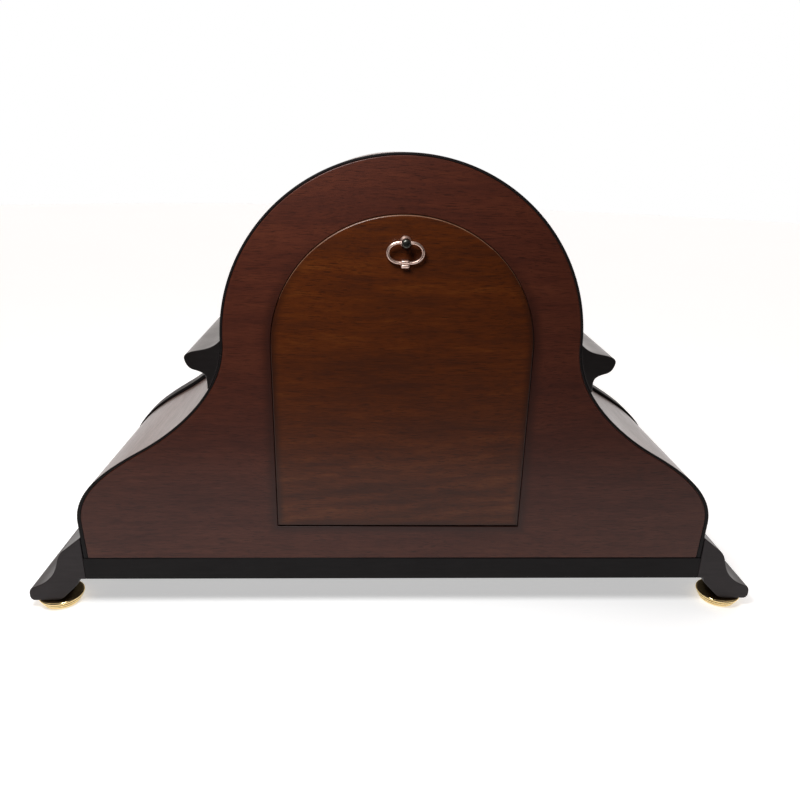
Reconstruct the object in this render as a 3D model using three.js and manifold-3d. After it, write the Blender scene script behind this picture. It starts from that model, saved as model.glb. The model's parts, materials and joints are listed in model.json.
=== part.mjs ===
// A tambour mantel clock: a round-topped wooden case on flared side runners with turned brass
// foot buttons, a tilting back door with a ring pull, a hinged brass bezel over the dial, and a
// key-wound movement with three spring barrels, a going train, motion work, hammers and chime rods.
//
// Millimetres, +Z up. The dial faces -Y and the back door faces +Y. While the pieces are made,
// y = 0 is the back face of the case; the exported group is moved along Y at the end, so that the
// origin is under the middle of the whole clock, on the surface that it stands on.
import * as THREE from "three";
import { mergeVertices } from "three/addons/utils/BufferGeometryUtils.js";
import Module from "manifold-3d";

const wasm = await Module();
wasm.setup();

// ---------------------------------------------------------------- driving dimensions
const GAP = 0.3; // what touching pieces keep between them
const DRUM_RADIUS = 118; // round top of the case, outside
const DRUM_Z = 204; // centre of the round top, the dial and the hands
const CASE_BOTTOM_Z = 43.5; // underside of the case, on the plinth
const PLINTH_BOTTOM_Z = 26;
const SHOULDER_X = 225.4; // half the width of the case at its widest
const SHOULDER_Z = 73;
const PANEL_REAR_Y = -128; // front panel, from its back face
const PANEL_FRONT_Y = -146; // to its front face
const BOARD_THICK = 9; // back board
const SHELL_THICK = 5; // bent shell
const SHELL_LIP = 1.6; // what shows of the shell round the back board
const SHELL_JOINT_Z = DRUM_Z - 8; // where the arch meets the shoulders, under the ears
const EAR_BOTTOM_Z = DRUM_Z - 31.6;

const DOOR_RADIUS = 85.5; // arched top of the back door, and half its width
const DOOR_ARCH_Z = 200.5;
const DOOR_BOTTOM_Z = 70;
const DOOR_GAP = 0.8;
const DOOR_PROUD = 1; // how far the door stands out of the board
const DOOR_PIVOT = { y: -2.6, z: DOOR_BOTTOM_Z + 4.2 };
const PIVOT_PIN_RADIUS = 1.2;
const PULL_Z = 270; // ring pull's post
const PULL_EYE_Y = 5.6;
const PULL_TIP_Y = 13.4; // rearmost point of the clock

const DIAL_RADIUS = 84.5;
const BEZEL_RADIUS = 93;
const BEZEL_FRONT_Y = -161; // frontmost point of the clock
const BEZEL_HINGE = { x: -97.5, y: -149.4 };

const FRONT_PLATE = { front: -112, rear: -110 }; // movement plates, along Y
const BACK_PLATE = { front: -66, rear: -64 };
const CHIME_RODS = { z: 80, radius: 1.5, ys: [-56, -46, -36, -26], ends: [-70, -80, -90, -100] };

// Gear trains: tooth counts, modules and centres. Centres are x and z from the hands' centre.
const TRAIN = {
  greatTeeth: 40,
  greatModule: 1.2,
  leafTeeth: 8,
  intermediateTeeth: 40,
  intermediateModule: 0.9,
  centreTeeth: 40,
  centreModule: 0.9,
  thirdTeeth: 40,
  thirdModule: 0.7,
  cannonTeeth: 12,
  minuteWheelTeeth: 36,
  cannonModule: 0.625,
  minutePinionTeeth: 10,
  hourTeeth: 40,
  hourModule: 0.6,
  chimePinionTeeth: 10,
};
const AT = {
  centre: [0, 0],
  timeBarrel: [0, -46],
  chimeBarrel: [-44, -14],
  strikeBarrel: [44, -14],
  minuteWheel: [15 * Math.SQRT1_2, 15 * Math.SQRT1_2],
  hammerShaft: [-30, -72],
  hammerHead: [8, -114.5],
  selector: [50, 0],
};
AT.intermediate = meetingPoint(
  AT.centre,
  (TRAIN.intermediateModule * (TRAIN.intermediateTeeth + TRAIN.leafTeeth)) / 2,
  AT.timeBarrel,
  (TRAIN.greatModule * (TRAIN.greatTeeth + TRAIN.leafTeeth)) / 2,
);
AT.third = polar((TRAIN.centreModule * (TRAIN.centreTeeth + TRAIN.leafTeeth)) / 2, 135);
AT.escape = polar((TRAIN.thirdModule * (TRAIN.thirdTeeth + TRAIN.leafTeeth)) / 2, 40, AT.third);
AT.pallets = [AT.escape[0] + 6.2, AT.escape[1]];
AT.balance = [AT.escape[0] + 12, AT.escape[1]];
AT.pinBarrel = polar(
  (TRAIN.greatModule * (TRAIN.greatTeeth + TRAIN.chimePinionTeeth)) / 2,
  -110,
  AT.chimeBarrel,
);

// ---------------------------------------------------------------- materials
const finish = (hex, roughness, metalness = 0) =>
  new THREE.MeshStandardMaterial({ color: hex, roughness, metalness });
const MATERIAL = {
  cherry: finish(0x4a2619, 0.45),
  doorPly: finish(0x4c2410, 0.4),
  ebony: finish(0x1c1a1a, 0.35),
  shellVeneer: finish(0x2a1914, 0.25),
  brass: finish(0xb08d45, 0.25, 1),
  brassPlate: finish(0xb99a55, 0.35, 1),
  steel: finish(0x8a8c90, 0.35, 1),
  dial: finish(0xe9e2cd, 0.6),
  glass: finish(0xdfe6e6, 0.05),
  handBlack: finish(0x111113, 0.4, 0.2),
  castIron: finish(0x33353a, 0.6, 0.6),
};

// ---------------------------------------------------------------- geometry helpers
function polar(radius, degrees, from = [0, 0]) {
  const a = THREE.MathUtils.degToRad(degrees);
  return [from[0] + radius * Math.cos(a), from[1] + radius * Math.sin(a)];
}

// The point at distance ra from a and rb from b, on the right of the line from a down to b.
function meetingPoint(a, ra, b, rb) {
  const d = Math.hypot(b[0] - a[0], b[1] - a[1]);
  const along = (ra * ra - rb * rb + d * d) / (2 * d);
  const aside = Math.sqrt(ra * ra - along * along);
  const ux = (b[0] - a[0]) / d;
  const uz = (b[1] - a[1]) / d;
  return [a[0] + ux * along - uz * aside, a[1] + uz * along + ux * aside];
}

// A closed three.js geometry as a manifold-3d solid.
function solid(geometry) {
  const bare = (geometry.index ? geometry.toNonIndexed() : geometry.clone());
  bare.deleteAttribute("normal");
  bare.deleteAttribute("uv");
  const merged = mergeVertices(bare, 1e-4);
  return new wasm.Manifold(
    new wasm.Mesh({
      numProp: 3,
      vertProperties: new Float32Array(merged.attributes.position.array),
      triVerts: new Uint32Array(merged.index.array),
    }),
  );
}

// A manifold-3d solid as a three.js geometry.
function geometryOf(made) {
  const mesh = made.getMesh();
  const count = mesh.vertProperties.length / mesh.numProp;
  const position = new Float32Array(count * 3);
  for (let i = 0; i < count; i++) {
    for (let k = 0; k < 3; k++) position[3 * i + k] = mesh.vertProperties[mesh.numProp * i + k];
  }
  return new THREE.BufferGeometry()
    .setAttribute("position", new THREE.BufferAttribute(position, 3))
    .setIndex(new THREE.BufferAttribute(new Uint32Array(mesh.triVerts), 1));
}

const join = (...solids) => solids.reduce((a, b) => a.add(b));

// An outline in X and Z, extruded along Y between two planes.
function slab(shape, yRear, yFront, curveSegments = 12) {
  const g = new THREE.ExtrudeGeometry(shape, {
    depth: yRear - yFront,
    bevelEnabled: false,
    curveSegments,
  });
  g.rotateX(Math.PI / 2);
  g.translate(0, yRear, 0);
  return solid(g);
}

// A closed profile of [radius, height] points, turned about the Y axis and moved to x, z.
function turnedY(profile, [x, z], segments = 16) {
  const points = profile.map(([r, h]) => new THREE.Vector2(r, h));
  if (profile[0][0] !== 0) points.push(points[0].clone());
  if (THREE.ShapeUtils.area(points) < 0) points.reverse();
  const g = new THREE.LatheGeometry(points, segments);
  g.translate(x, 0, z);
  return solid(g);
}

// The same profile with its heights along Z, at x, y.
function turnedZ(profile, [x, y], segments = 24) {
  const points = profile.map(([r, h]) => new THREE.Vector2(r, h));
  if (profile[0][0] !== 0) points.push(points[0].clone());
  if (THREE.ShapeUtils.area(points) < 0) points.reverse();
  const g = new THREE.LatheGeometry(points, segments);
  g.rotateX(Math.PI / 2);
  g.translate(x, y, 0);
  return solid(g);
}

const rodY = (radius, y0, y1, at, segments = 12) =>
  turnedY([[0, y0], [radius, y0], [radius, y1], [0, y1]], at, segments);

const tubeY = (inner, outer, y0, y1, at, segments = 16) =>
  turnedY([[inner, y0], [outer, y0], [outer, y1], [inner, y1]], at, segments);

function rodX(radius, x0, x1, y, z, segments = 12) {
  const g = new THREE.CylinderGeometry(radius, radius, Math.abs(x1 - x0), segments);
  g.rotateZ(Math.PI / 2);
  g.translate((x0 + x1) / 2, y, z);
  return solid(g);
}

function rodZ(radius, z0, z1, x, y, segments = 16) {
  const g = new THREE.CylinderGeometry(radius, radius, z1 - z0, segments);
  g.rotateX(Math.PI / 2);
  g.translate(x, y, (z0 + z1) / 2);
  return solid(g);
}

function block([x0, x1], [y0, y1], [z0, z1]) {
  const g = new THREE.BoxGeometry(x1 - x0, y1 - y0, z1 - z0);
  g.translate((x0 + x1) / 2, (y0 + y1) / 2, (z0 + z1) / 2);
  return solid(g);
}

// A straight bar in the XZ plane, from one centre to another.
function barXZ(from, to, width, y0, y1) {
  const length = Math.hypot(to[0] - from[0], to[1] - from[1]);
  const g = new THREE.BoxGeometry(length, y1 - y0, width);
  g.rotateY(-Math.atan2(to[1] - from[1], to[0] - from[0]));
  g.translate((from[0] + to[0]) / 2, (y0 + y1) / 2, (from[1] + to[1]) / 2);
  return solid(g);
}

const shapeFrom = (points) => new THREE.Shape(points.map(([x, z]) => new THREE.Vector2(x, z)));
const mirrored = (points) => points.map(([x, z]) => [-x, z]).reverse();
const mirrorX = (made) => made.mirror([1, 0, 0]);
const raised = ([x, z]) => [x, z + DRUM_Z];

function roundHole(radius, [x, z]) {
  const hole = new THREE.Path();
  hole.absarc(x, z, radius, 0, 2 * Math.PI, true);
  return hole;
}

// ---------------------------------------------------------------- the case's outline
// Right half of the case's outline, from its bottom corner up the ogee shoulder and over the drum.
function halfOutline() {
  const v = (x, z) => new THREE.Vector2(x, z);
  const belly = new THREE.CubicBezierCurve(
    v(SHOULDER_X, SHOULDER_Z),
    v(SHOULDER_X, SHOULDER_Z + 26),
    v(SHOULDER_X - 28.6, SHOULDER_Z + 43),
    v(SHOULDER_X - 49.4, SHOULDER_Z + 55),
  );
  const sweep = new THREE.CubicBezierCurve(
    v(SHOULDER_X - 49.4, SHOULDER_Z + 55),
    v(SHOULDER_X - 73.6, SHOULDER_Z + 69),
    v(DRUM_RADIUS, DRUM_Z - 34),
    v(DRUM_RADIUS, DRUM_Z),
  );
  const drum = new THREE.EllipseCurve(
    0, DRUM_Z, DRUM_RADIUS, DRUM_RADIUS, 0, Math.PI / 2, false, 0,
  );
  const corner = [v(SHOULDER_X - 0.8, CASE_BOTTOM_Z)];
  return [
    ...corner,
    ...belly.getPoints(9),
    ...sweep.getPoints(12).slice(1),
    ...drum.getPoints(16).slice(1),
  ].map((p) => [p.x, p.y]);
}
const OUTLINE = halfOutline();

// The half outline moved inwards by a distance that may depend on the height.
function inset(points, distance) {
  const moved = points.map(([x, z], i) => {
    const [ax, az] = points[Math.max(i - 1, 0)];
    const [bx, bz] = points[Math.min(i + 1, points.length - 1)];
    const length = Math.hypot(bx - ax, bz - az);
    const d = typeof distance === "function" ? distance(z) : distance;
    return [x - (d * (bz - az)) / length, z + (d * (bx - ax)) / length];
  });
  moved[0][1] = points[0][1];
  if (points[points.length - 1][0] < GAP) moved[moved.length - 1][0] = 0;
  return moved;
}

// Both halves, as one closed outline.
const whole = (half) => [...half, ...mirrored(half.slice(0, -1))];

// The part of a half outline between two heights, with its ends exactly there.
function between(points, zLow, zHigh) {
  const at = (z) => {
    const i = points.findIndex((p, k) => k > 0 && points[k - 1][1] <= z && p[1] >= z);
    const [[ax, az], [bx, bz]] = [points[i - 1], points[i]];
    return [ax + ((bx - ax) * (z - az)) / (bz - az), z];
  };
  return [at(zLow), ...points.filter(([, z]) => z > zLow && z < zHigh), at(zHigh)];
}

// A strip of the shell between heights, as a rebated lip behind and full thickness in front.
function shellStrip(outer, inner, lip) {
  const strip = (a, b, y0, y1) => slab(shapeFrom([...a, ...[...b].reverse()]), y0, y1);
  const rebate = -BOARD_THICK - GAP;
  return join(strip(outer, lip, 0, rebate - 1), strip(outer, inner, rebate, PANEL_REAR_Y + GAP));
}

// ---------------------------------------------------------------- case
function archShell() {
  const cut = (half) => {
    const top = half.filter(([, z]) => z > SHELL_JOINT_Z);
    const i = half.findIndex(([, z]) => z > SHELL_JOINT_Z);
    const [[ax, az], [bx, bz]] = [half[i - 1], half[i]];
    const foot = [ax + ((bx - ax) * (SHELL_JOINT_Z - az)) / (bz - az), SHELL_JOINT_Z];
    return [foot, ...top, ...mirrored([foot, ...top.slice(0, -1)])];
  };
  return shellStrip(cut(OUTLINE), cut(inset(OUTLINE, SHELL_THICK)), cut(inset(OUTLINE, SHELL_LIP)));
}

function shoulderShell() {
  const cut = (half) => between(half, CASE_BOTTOM_Z + GAP, SHELL_JOINT_Z - GAP);
  return shellStrip(cut(OUTLINE), cut(inset(OUTLINE, SHELL_THICK)), cut(inset(OUTLINE, SHELL_LIP)));
}

function doorOutline(extra) {
  const shape = new THREE.Shape();
  const r = DOOR_RADIUS + extra;
  shape.moveTo(-r, DOOR_BOTTOM_Z - extra);
  shape.lineTo(r, DOOR_BOTTOM_Z - extra);
  shape.lineTo(r, DOOR_ARCH_Z);
  shape.absarc(0, DOOR_ARCH_Z, r, 0, Math.PI, false);
  shape.closePath();
  return shape;
}

const pivotPin = (side, radius, reach) =>
  rodX(radius, side * (DOOR_RADIUS - reach), side * (DOOR_RADIUS + reach), DOOR_PIVOT.y, DOOR_PIVOT.z);

function backBoard() {
  const half = inset(OUTLINE, SHELL_LIP + GAP);
  half[0][1] = CASE_BOTTOM_Z + GAP;
  const board = slab(shapeFrom(whole(half)), 0, -BOARD_THICK);
  const opening = slab(doorOutline(DOOR_GAP), 1, -BOARD_THICK - 1, 20);
  const holes = [-1, 1].map((side) => pivotPin(side, PIVOT_PIN_RADIUS + GAP, 12));
  return holes.reduce((b, h) => b.subtract(h), board.subtract(opening));
}

// The door's back face is eased all round, and its lower edge is rounded about the pivot.
function backDoor() {
  const face = slab(doorOutline(-1), DOOR_PROUD, DOOR_PROUD - 1, 20);
  const body = slab(doorOutline(0), DOOR_PROUD - 0.9, DOOR_PROUD - BOARD_THICK, 20);
  const wide = 2 * DOOR_RADIUS;
  const below = block(
    [-wide, wide],
    [DOOR_PIVOT.y, DOOR_PROUD + 1],
    [DOOR_BOTTOM_Z - 1, DOOR_PIVOT.z],
  );
  const round = rodX(4.4, -wide, wide, DOOR_PIVOT.y, DOOR_PIVOT.z, 32);
  const sides = [-1, 1].map((side) => pivotPin(side, PIVOT_PIN_RADIUS + GAP, 12));
  const post = rodY(1.5 + GAP, -BOARD_THICK, DOOR_PROUD + 1, [0, PULL_Z]);
  const door = join(face, body).subtract(below.subtract(round)).subtract(post);
  return sides.reduce((b, h) => b.subtract(h), door);
}

// The front panel stands a little proud of the shoulders, most just under the ears.
function frontPanel() {
  const ledge = EAR_BOTTOM_Z - GAP;
  const proud = (z) => -THREE.MathUtils.mapLinear(Math.max(z, 84), 84, ledge, 0.6, 4.6);
  const low = inset(between(OUTLINE, CASE_BOTTOM_Z + GAP, ledge), proud);
  low[low.length - 1] = [low[low.length - 1][0], ledge];
  const upper = OUTLINE.filter(([, z]) => z > ledge);
  const shape = shapeFrom(whole([...low, between(OUTLINE, CASE_BOTTOM_Z + GAP, ledge).pop(), ...upper]));
  shape.holes.push(roundHole(76, [0, DRUM_Z]));
  return slab(shape, PANEL_REAR_Y, PANEL_FRONT_Y, 20);
}

// The ear covers the joint of arch and shoulder, and runs from the back to the front of the case.
function earMoulding() {
  const shape = new THREE.Shape();
  const top = DRUM_Z + 1.2;
  const x0 = DRUM_RADIUS + GAP;
  shape.moveTo(x0, top);
  shape.bezierCurveTo(x0 + 6, top - 6.2, x0 + 12, top - 5.7, x0 + 18.5, top - 7.4);
  shape.quadraticCurveTo(x0 + 24, top - 9.2, x0 + 23.6, top - 12.4);
  shape.quadraticCurveTo(x0 + 23, top - 17, x0 + 18.5, top - 19.5);
  shape.bezierCurveTo(x0 + 11.5, top - 21.5, x0 + 10, top - 22.8, x0 + 10, top - 28);
  shape.lineTo(x0 + 10, EAR_BOTTOM_Z);
  const against = between(inset(OUTLINE, -GAP), EAR_BOTTOM_Z, DRUM_Z);
  for (const [x, z] of against.slice(0, -1)) shape.lineTo(Math.min(x, x0 + 9.9), z);
  return slab(shape, 0, PANEL_FRONT_Y, 6);
}

// Cross-section of the flared runner under each end of the case, the toe pointing outwards.
function runner() {
  const shape = new THREE.Shape();
  const inner = SHOULDER_X + 0.4;
  shape.moveTo(inner, PLINTH_BOTTOM_Z);
  shape.lineTo(230.4, PLINTH_BOTTOM_Z);
  shape.quadraticCurveTo(230.8, 22.6, 233, 20.4);
  shape.lineTo(241.8, 11.4);
  shape.quadraticCurveTo(245, 8, 250, 8);
  shape.lineTo(264.6, 8);
  shape.quadraticCurveTo(267.4, 9, 267.4, 12.5);
  shape.quadraticCurveTo(267.4, 17.5, 264, 19);
  shape.bezierCurveTo(252, 23, 247, 30, 244.4, 40);
  shape.quadraticCurveTo(243, 46, 238, 50);
  shape.lineTo(inner, 60);
  return slab(shape, 0, -150, 7);
}

function plinth() {
  const shape = shapeFrom([
    [-SHOULDER_X, PLINTH_BOTTOM_Z],
    [SHOULDER_X, PLINTH_BOTTOM_Z],
    [SHOULDER_X, CASE_BOTTOM_Z],
    [-SHOULDER_X, CASE_BOTTOM_Z],
  ]);
  return slab(shape, 0, -150);
}

// Turned brass button under each end of each runner, widest at its top. Its flat foot stands on
// the surface.
function footButton(x, y) {
  const profile = [
    [0, 0],
    [11.4, 0],
    [13, 0.9],
    [13.2, 2.4],
    [14.4, 3],
    [14.8, 4.6],
    [15.7, 5.2],
    [16, 6.6],
    [15, 7.7],
    [0, 7.7],
  ];
  return turnedZ(profile, [x, y], 16);
}

// ---------------------------------------------------------------- back door furniture
function pullPost() {
  const stem = turnedY(
    [
      [0, -6],
      [1.5, -6],
      [1.5, DOOR_PROUD + GAP],
      [3.7, DOOR_PROUD + GAP],
      [3.7, DOOR_PROUD + 1.4],
      [2.5, DOOR_PROUD + 2.4],
      [2.4, PULL_EYE_Y + 1.8],
      [2.8, PULL_EYE_Y + 2.4],
      [2.9, PULL_TIP_Y - 2],
      [2.2, PULL_TIP_Y - 0.4],
      [0, PULL_TIP_Y],
    ],
    [0, PULL_Z],
    16,
  );
  return stem.subtract(rodX(1 + GAP, -8, 8, PULL_EYE_Y, PULL_Z));
}

// An oval ring of round wire, flat at the top where it passes through the post, with a square
// ferrule at the bottom. It hangs from the eye and leans against the door.
function pullRing() {
  const halfWidth = 11;
  const drop = 12.8;
  const flat = 3.4;
  const ferruleDepth = 1.6; // from its middle
  const ferruleDrop = drop + 3.4;
  const path = new THREE.CurvePath();
  const v = (x, z) => new THREE.Vector3(x, 0, z);
  const mid = -drop / 2;
  const bend = 0.56;
  const side = (s, down) => {
    const top = [v(s * flat, 0), v(s * (flat + (halfWidth - flat) * bend), 0)];
    const out = [v(s * halfWidth, mid * (1 - bend)), v(s * halfWidth, mid)];
    const low = [v(s * halfWidth, mid * (1 + bend)), v(s * (flat + (halfWidth - flat) * bend), -drop)];
    const end = v(s * flat, -drop);
    const upper = [...top, ...out];
    const lower = [out[1], ...low, end];
    return down ? [upper, lower] : [[...lower].reverse(), [...upper].reverse()];
  };
  path.add(new THREE.LineCurve3(v(-flat, 0), v(flat, 0)));
  for (const c of side(1, true)) path.add(new THREE.CubicBezierCurve3(...c));
  path.add(new THREE.LineCurve3(v(flat, -drop), v(-flat, -drop)));
  for (const c of side(-1, false)) path.add(new THREE.CubicBezierCurve3(...c));
  const loop = new THREE.CatmullRomCurve3(path.getSpacedPoints(28).slice(0, -1), true);
  const wire = ringSweep(loop, 1, 28, 8);
  const ferrule = block([-2.8, 2.8], [-ferruleDepth, ferruleDepth], [-ferruleDrop, -drop + 1.8]);
  const lean = Math.asin((PULL_EYE_Y - DOOR_PROUD - ferruleDepth - GAP) / ferruleDrop);
  const ring = geometryOf(join(wire, ferrule));
  ring.rotateX(-lean);
  ring.translate(0, PULL_EYE_Y, PULL_Z);
  return solid(ring);
}

// A closed loop of round wire, with the last ring of points joined to the first.
function ringSweep(loop, radius, steps, sides) {
  const frames = loop.computeFrenetFrames(steps, true);
  const position = [];
  const index = [];
  for (let i = 0; i < steps; i++) {
    const centre = loop.getPointAt(i / steps);
    for (let k = 0; k < sides; k++) {
      const a = (2 * Math.PI * k) / sides;
      const p = centre.clone();
      p.addScaledVector(frames.normals[i], radius * Math.cos(a));
      p.addScaledVector(frames.binormals[i], radius * Math.sin(a));
      position.push(p.x, p.y, p.z);
      const next = (k + 1) % sides;
      const ring = i * sides;
      const ahead = ((i + 1) % steps) * sides;
      index.push(ring + k, ring + next, ahead + k, ring + next, ahead + next, ahead + k);
    }
  }
  const g = new THREE.BufferGeometry();
  g.setAttribute("position", new THREE.Float32BufferAttribute(position, 3));
  g.setIndex(index);
  const made = solid(g);
  if (made.volume() > 0) return made;
  for (let i = 0; i < index.length; i += 3) [index[i], index[i + 1]] = [index[i + 1], index[i]];
  g.setIndex(index);
  return solid(g);
}

// Spring catch screwed inside the board above the opening. Its tongue stops the door's top edge.
function doorCatch() {
  const top = DOOR_ARCH_Z + DOOR_RADIUS;
  const board = -BOARD_THICK - GAP;
  const body = block([-14, 14], [board - 6, board], [top + 3, top + 22]);
  const tongue = block([-8, 8], [board - 1.6, board], [top - 8, top + 4]);
  return join(body, tongue);
}

// ---------------------------------------------------------------- dial, bezel and hands
const WINDING_HOLES = [AT.timeBarrel, AT.chimeBarrel, AT.strikeBarrel];

function dialPlate() {
  const shape = new THREE.Shape();
  shape.absarc(0, DRUM_Z, DIAL_RADIUS, 0, 2 * Math.PI, false);
  shape.holes.push(roundHole(4.8, [0, DRUM_Z]));
  for (const hole of WINDING_HOLES) shape.holes.push(roundHole(4.4, raised(hole)));
  const slot = new THREE.Path();
  const x = AT.selector[0] + 16;
  slot.moveTo(x - 2.4, DRUM_Z - 6);
  slot.lineTo(x - 2.4, DRUM_Z + 6);
  slot.lineTo(x + 2.4, DRUM_Z + 6);
  slot.lineTo(x + 2.4, DRUM_Z - 6);
  shape.holes.push(slot);
  return slab(shape, PANEL_FRONT_Y - GAP, PANEL_FRONT_Y - 1.5, 14);
}

function bezelRing() {
  const back = PANEL_FRONT_Y - 0.5;
  const ring = turnedY(
    [
      [86, back],
      [BEZEL_RADIUS - 1, back],
      [BEZEL_RADIUS, back - 3],
      [BEZEL_RADIUS - 1.4, back - 7],
      [BEZEL_RADIUS - 5, back - 10],
      [85, back - 11],
      [83.4, BEZEL_FRONT_Y + 0.6],
      [81.6, BEZEL_FRONT_Y],
      [79.6, BEZEL_FRONT_Y + 1],
      [78.8, BEZEL_FRONT_Y + 3.4],
      [81.9, BEZEL_FRONT_Y + 3.4],
      [81.9, back - 2],
      [86, back - 2],
    ],
    [0, DRUM_Z],
    40,
  );
  const { x, y } = BEZEL_HINGE;
  const lug = block([x, -BEZEL_RADIUS + 3.5], [y - 1.4, y + 1.6], [DRUM_Z - 5, DRUM_Z + 5]);
  const knuckle = rodZ(2.6, DRUM_Z - 5, DRUM_Z + 5, x, y);
  const tab = block([BEZEL_RADIUS - 2.5, BEZEL_RADIUS + 4], [y - 1.2, y + 1.2], [DRUM_Z - 4, DRUM_Z + 4]);
  return join(ring, lug, knuckle, tab).subtract(rodZ(1.5, DRUM_Z - 6, DRUM_Z + 6, x, y));
}

const bezelGlass = () =>
  rodY(81.4, BEZEL_FRONT_Y + 3.4 + GAP, BEZEL_FRONT_Y + 5.5, [0, DRUM_Z], 48);

function bezelHinge() {
  const { x, y } = BEZEL_HINGE;
  const face = PANEL_FRONT_Y - GAP;
  const leaf = block([x - 14, x - 3.2], [face - 1.1, face], [DRUM_Z - 14, DRUM_Z + 14]);
  const arms = [-1, 1].map((side) => {
    const z = [DRUM_Z + side * 9.65 - 4.35, DRUM_Z + side * 9.65 + 4.35];
    return join(block([x - 4, x], [y - 1, y + 2.2], z), rodZ(2.6, ...z, x, y));
  });
  return join(leaf, ...arms).subtract(rodZ(1.5, DRUM_Z - 15, DRUM_Z + 15, x, y));
}

const bezelHingePin = () => rodZ(1.2, DRUM_Z - 15, DRUM_Z + 15, BEZEL_HINGE.x, BEZEL_HINGE.y, 12);

// A spade hand pointing up from the hands' centre, turned clockwise to its time.
function hand(length, boss, bore, spade, degrees, y0, y1) {
  const s = new THREE.Shape();
  const neck = length * 0.62;
  s.moveTo(-boss * 0.3, 0);
  s.lineTo(-boss * 0.3, -boss * 2.4);
  s.lineTo(boss * 0.3, -boss * 2.4);
  s.lineTo(boss * 0.3, 0);
  s.lineTo(boss * 0.17, neck);
  s.bezierCurveTo(spade * 0.5, neck - 2, spade, neck + 1, spade, neck + spade);
  s.bezierCurveTo(spade, neck + spade * 2, 1.4, neck + spade * 1.6, 0.5, length);
  s.lineTo(-0.5, length);
  s.bezierCurveTo(-1.4, neck + spade * 1.6, -spade, neck + spade * 2, -spade, neck + spade);
  s.bezierCurveTo(-spade, neck + 1, -spade * 0.5, neck - 2, -boss * 0.17, neck);
  s.closePath();
  const flat = geometryOf(
    join(slab(s, y1, y0, 6), rodY(boss, y0, y1, [0, 0], 24)).subtract(
      rodY(bore, y0 - 1, y1 + 1, [0, 0], 16),
    ),
  );
  flat.rotateY(THREE.MathUtils.degToRad(degrees));
  flat.translate(0, 0, DRUM_Z);
  return solid(flat);
}

// ---------------------------------------------------------------- gears
// Straight-sided teeth, thinner than the spaces between them, so that a pair runs clear. Each
// corner is a radius from the pitch circle, in modules, and a share of the tooth's pitch.
const WHEEL_TOOTH = [[-1.1, -0.5], [0.8, 0]];
const PINION_LEAF = [[-1.25, -0.22], [0.75, -0.1], [0.75, 0.1], [-1.25, 0.22]];

function toothed(teeth, module, phase, at, corners) {
  const pitch = (module * teeth) / 2;
  const points = [];
  for (let k = 0; k < teeth; k++) {
    for (const [height, share] of corners) {
      const a = phase + ((k + share) * 2 * Math.PI) / teeth;
      const r = pitch + height * module;
      points.push([at[0] + r * Math.cos(a), at[1] + r * Math.sin(a)]);
    }
  }
  return shapeFrom(points);
}

// Phases that put two wheels in mesh: a tooth of one points at a space of the other.
function meshPhases(fromAt, toAt, toTeeth) {
  const a = Math.atan2(toAt[1] - fromAt[1], toAt[0] - fromAt[0]);
  return { from: a, to: a + Math.PI + Math.PI / toTeeth };
}

const wheel = (teeth, module, phase, at, y0, y1) =>
  slab(toothed(teeth, module, phase, at, WHEEL_TOOTH), y1, y0);
const pinion = (leaves, module, phase, at, y0, y1) =>
  slab(toothed(leaves, module, phase, at, PINION_LEAF), y1, y0);

const T = TRAIN;
const M = {
  greatToLeaf: meshPhases(AT.timeBarrel, AT.intermediate, T.leafTeeth),
  wheelToCentre: meshPhases(AT.intermediate, AT.centre, T.leafTeeth),
  centreToThird: meshPhases(AT.centre, AT.third, T.leafTeeth),
  thirdToEscape: meshPhases(AT.third, AT.escape, T.leafTeeth),
  cannonToMinute: meshPhases(AT.minuteWheel, AT.centre, T.cannonTeeth),
  minuteToHour: meshPhases(AT.centre, AT.minuteWheel, T.minutePinionTeeth),
  chimeToPins: meshPhases(AT.chimeBarrel, AT.pinBarrel, T.chimePinionTeeth),
};
const PLATE_BORE = 0.4; // clearance of an arbor in a plate

// A spring barrel with its great wheel, free on the winding arbor.
function barrel(at, phase) {
  const great = wheel(T.greatTeeth, T.greatModule, phase, at, -108.5, -106.5);
  const drum = turnedY(
    [
      [3.4, -109],
      [6, -109],
      [6, -107],
      [20, -107],
      [20, -78.8],
      [6, -78.8],
      [6, -77.5],
      [3.4, -77.5],
    ],
    at,
    20,
  );
  return join(great, drum).subtract(rodY(3.4, -110, -76, at, 20));
}

// The arbor the spring is wound on: ratchet wheel in front of the plate, squared end at the dial.
function windingArbor(at) {
  const arbor = rodY(3, -128, BACK_PLATE.rear + 1.5, at, 16);
  const square = block(
    [at[0] - 2.5, at[0] + 2.5],
    [PANEL_FRONT_Y - 2.6, -127],
    [at[1] - 2.5, at[1] + 2.5],
  );
  const ratchet = new THREE.Shape();
  const count = 12;
  for (let k = 0; k < count; k++) {
    const a = (k * 2 * Math.PI) / count;
    const corners = [[9, a], [7.2, a + 0.05]];
    corners.forEach(([r, angle], c) => {
      const p = [at[0] + r * Math.cos(angle), at[1] + r * Math.sin(angle)];
      if (k + c === 0) ratchet.moveTo(...p);
      else ratchet.lineTo(...p);
    });
  }
  ratchet.closePath();
  return join(arbor, square, slab(ratchet, -113.4, -115.4));
}

const arbor = (at, radius, y0, y1) => rodY(radius, y0, y1, at, 10);

function intermediateWheel() {
  const at = AT.intermediate;
  return join(
    arbor(at, 1.3, FRONT_PLATE.front - 1, BACK_PLATE.rear + 1),
    pinion(T.leafTeeth, T.greatModule, M.greatToLeaf.to, at, -109.4, -105.8),
    wheel(T.intermediateTeeth, T.intermediateModule, M.wheelToCentre.from, at, -75, -73.4),
  );
}

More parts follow.
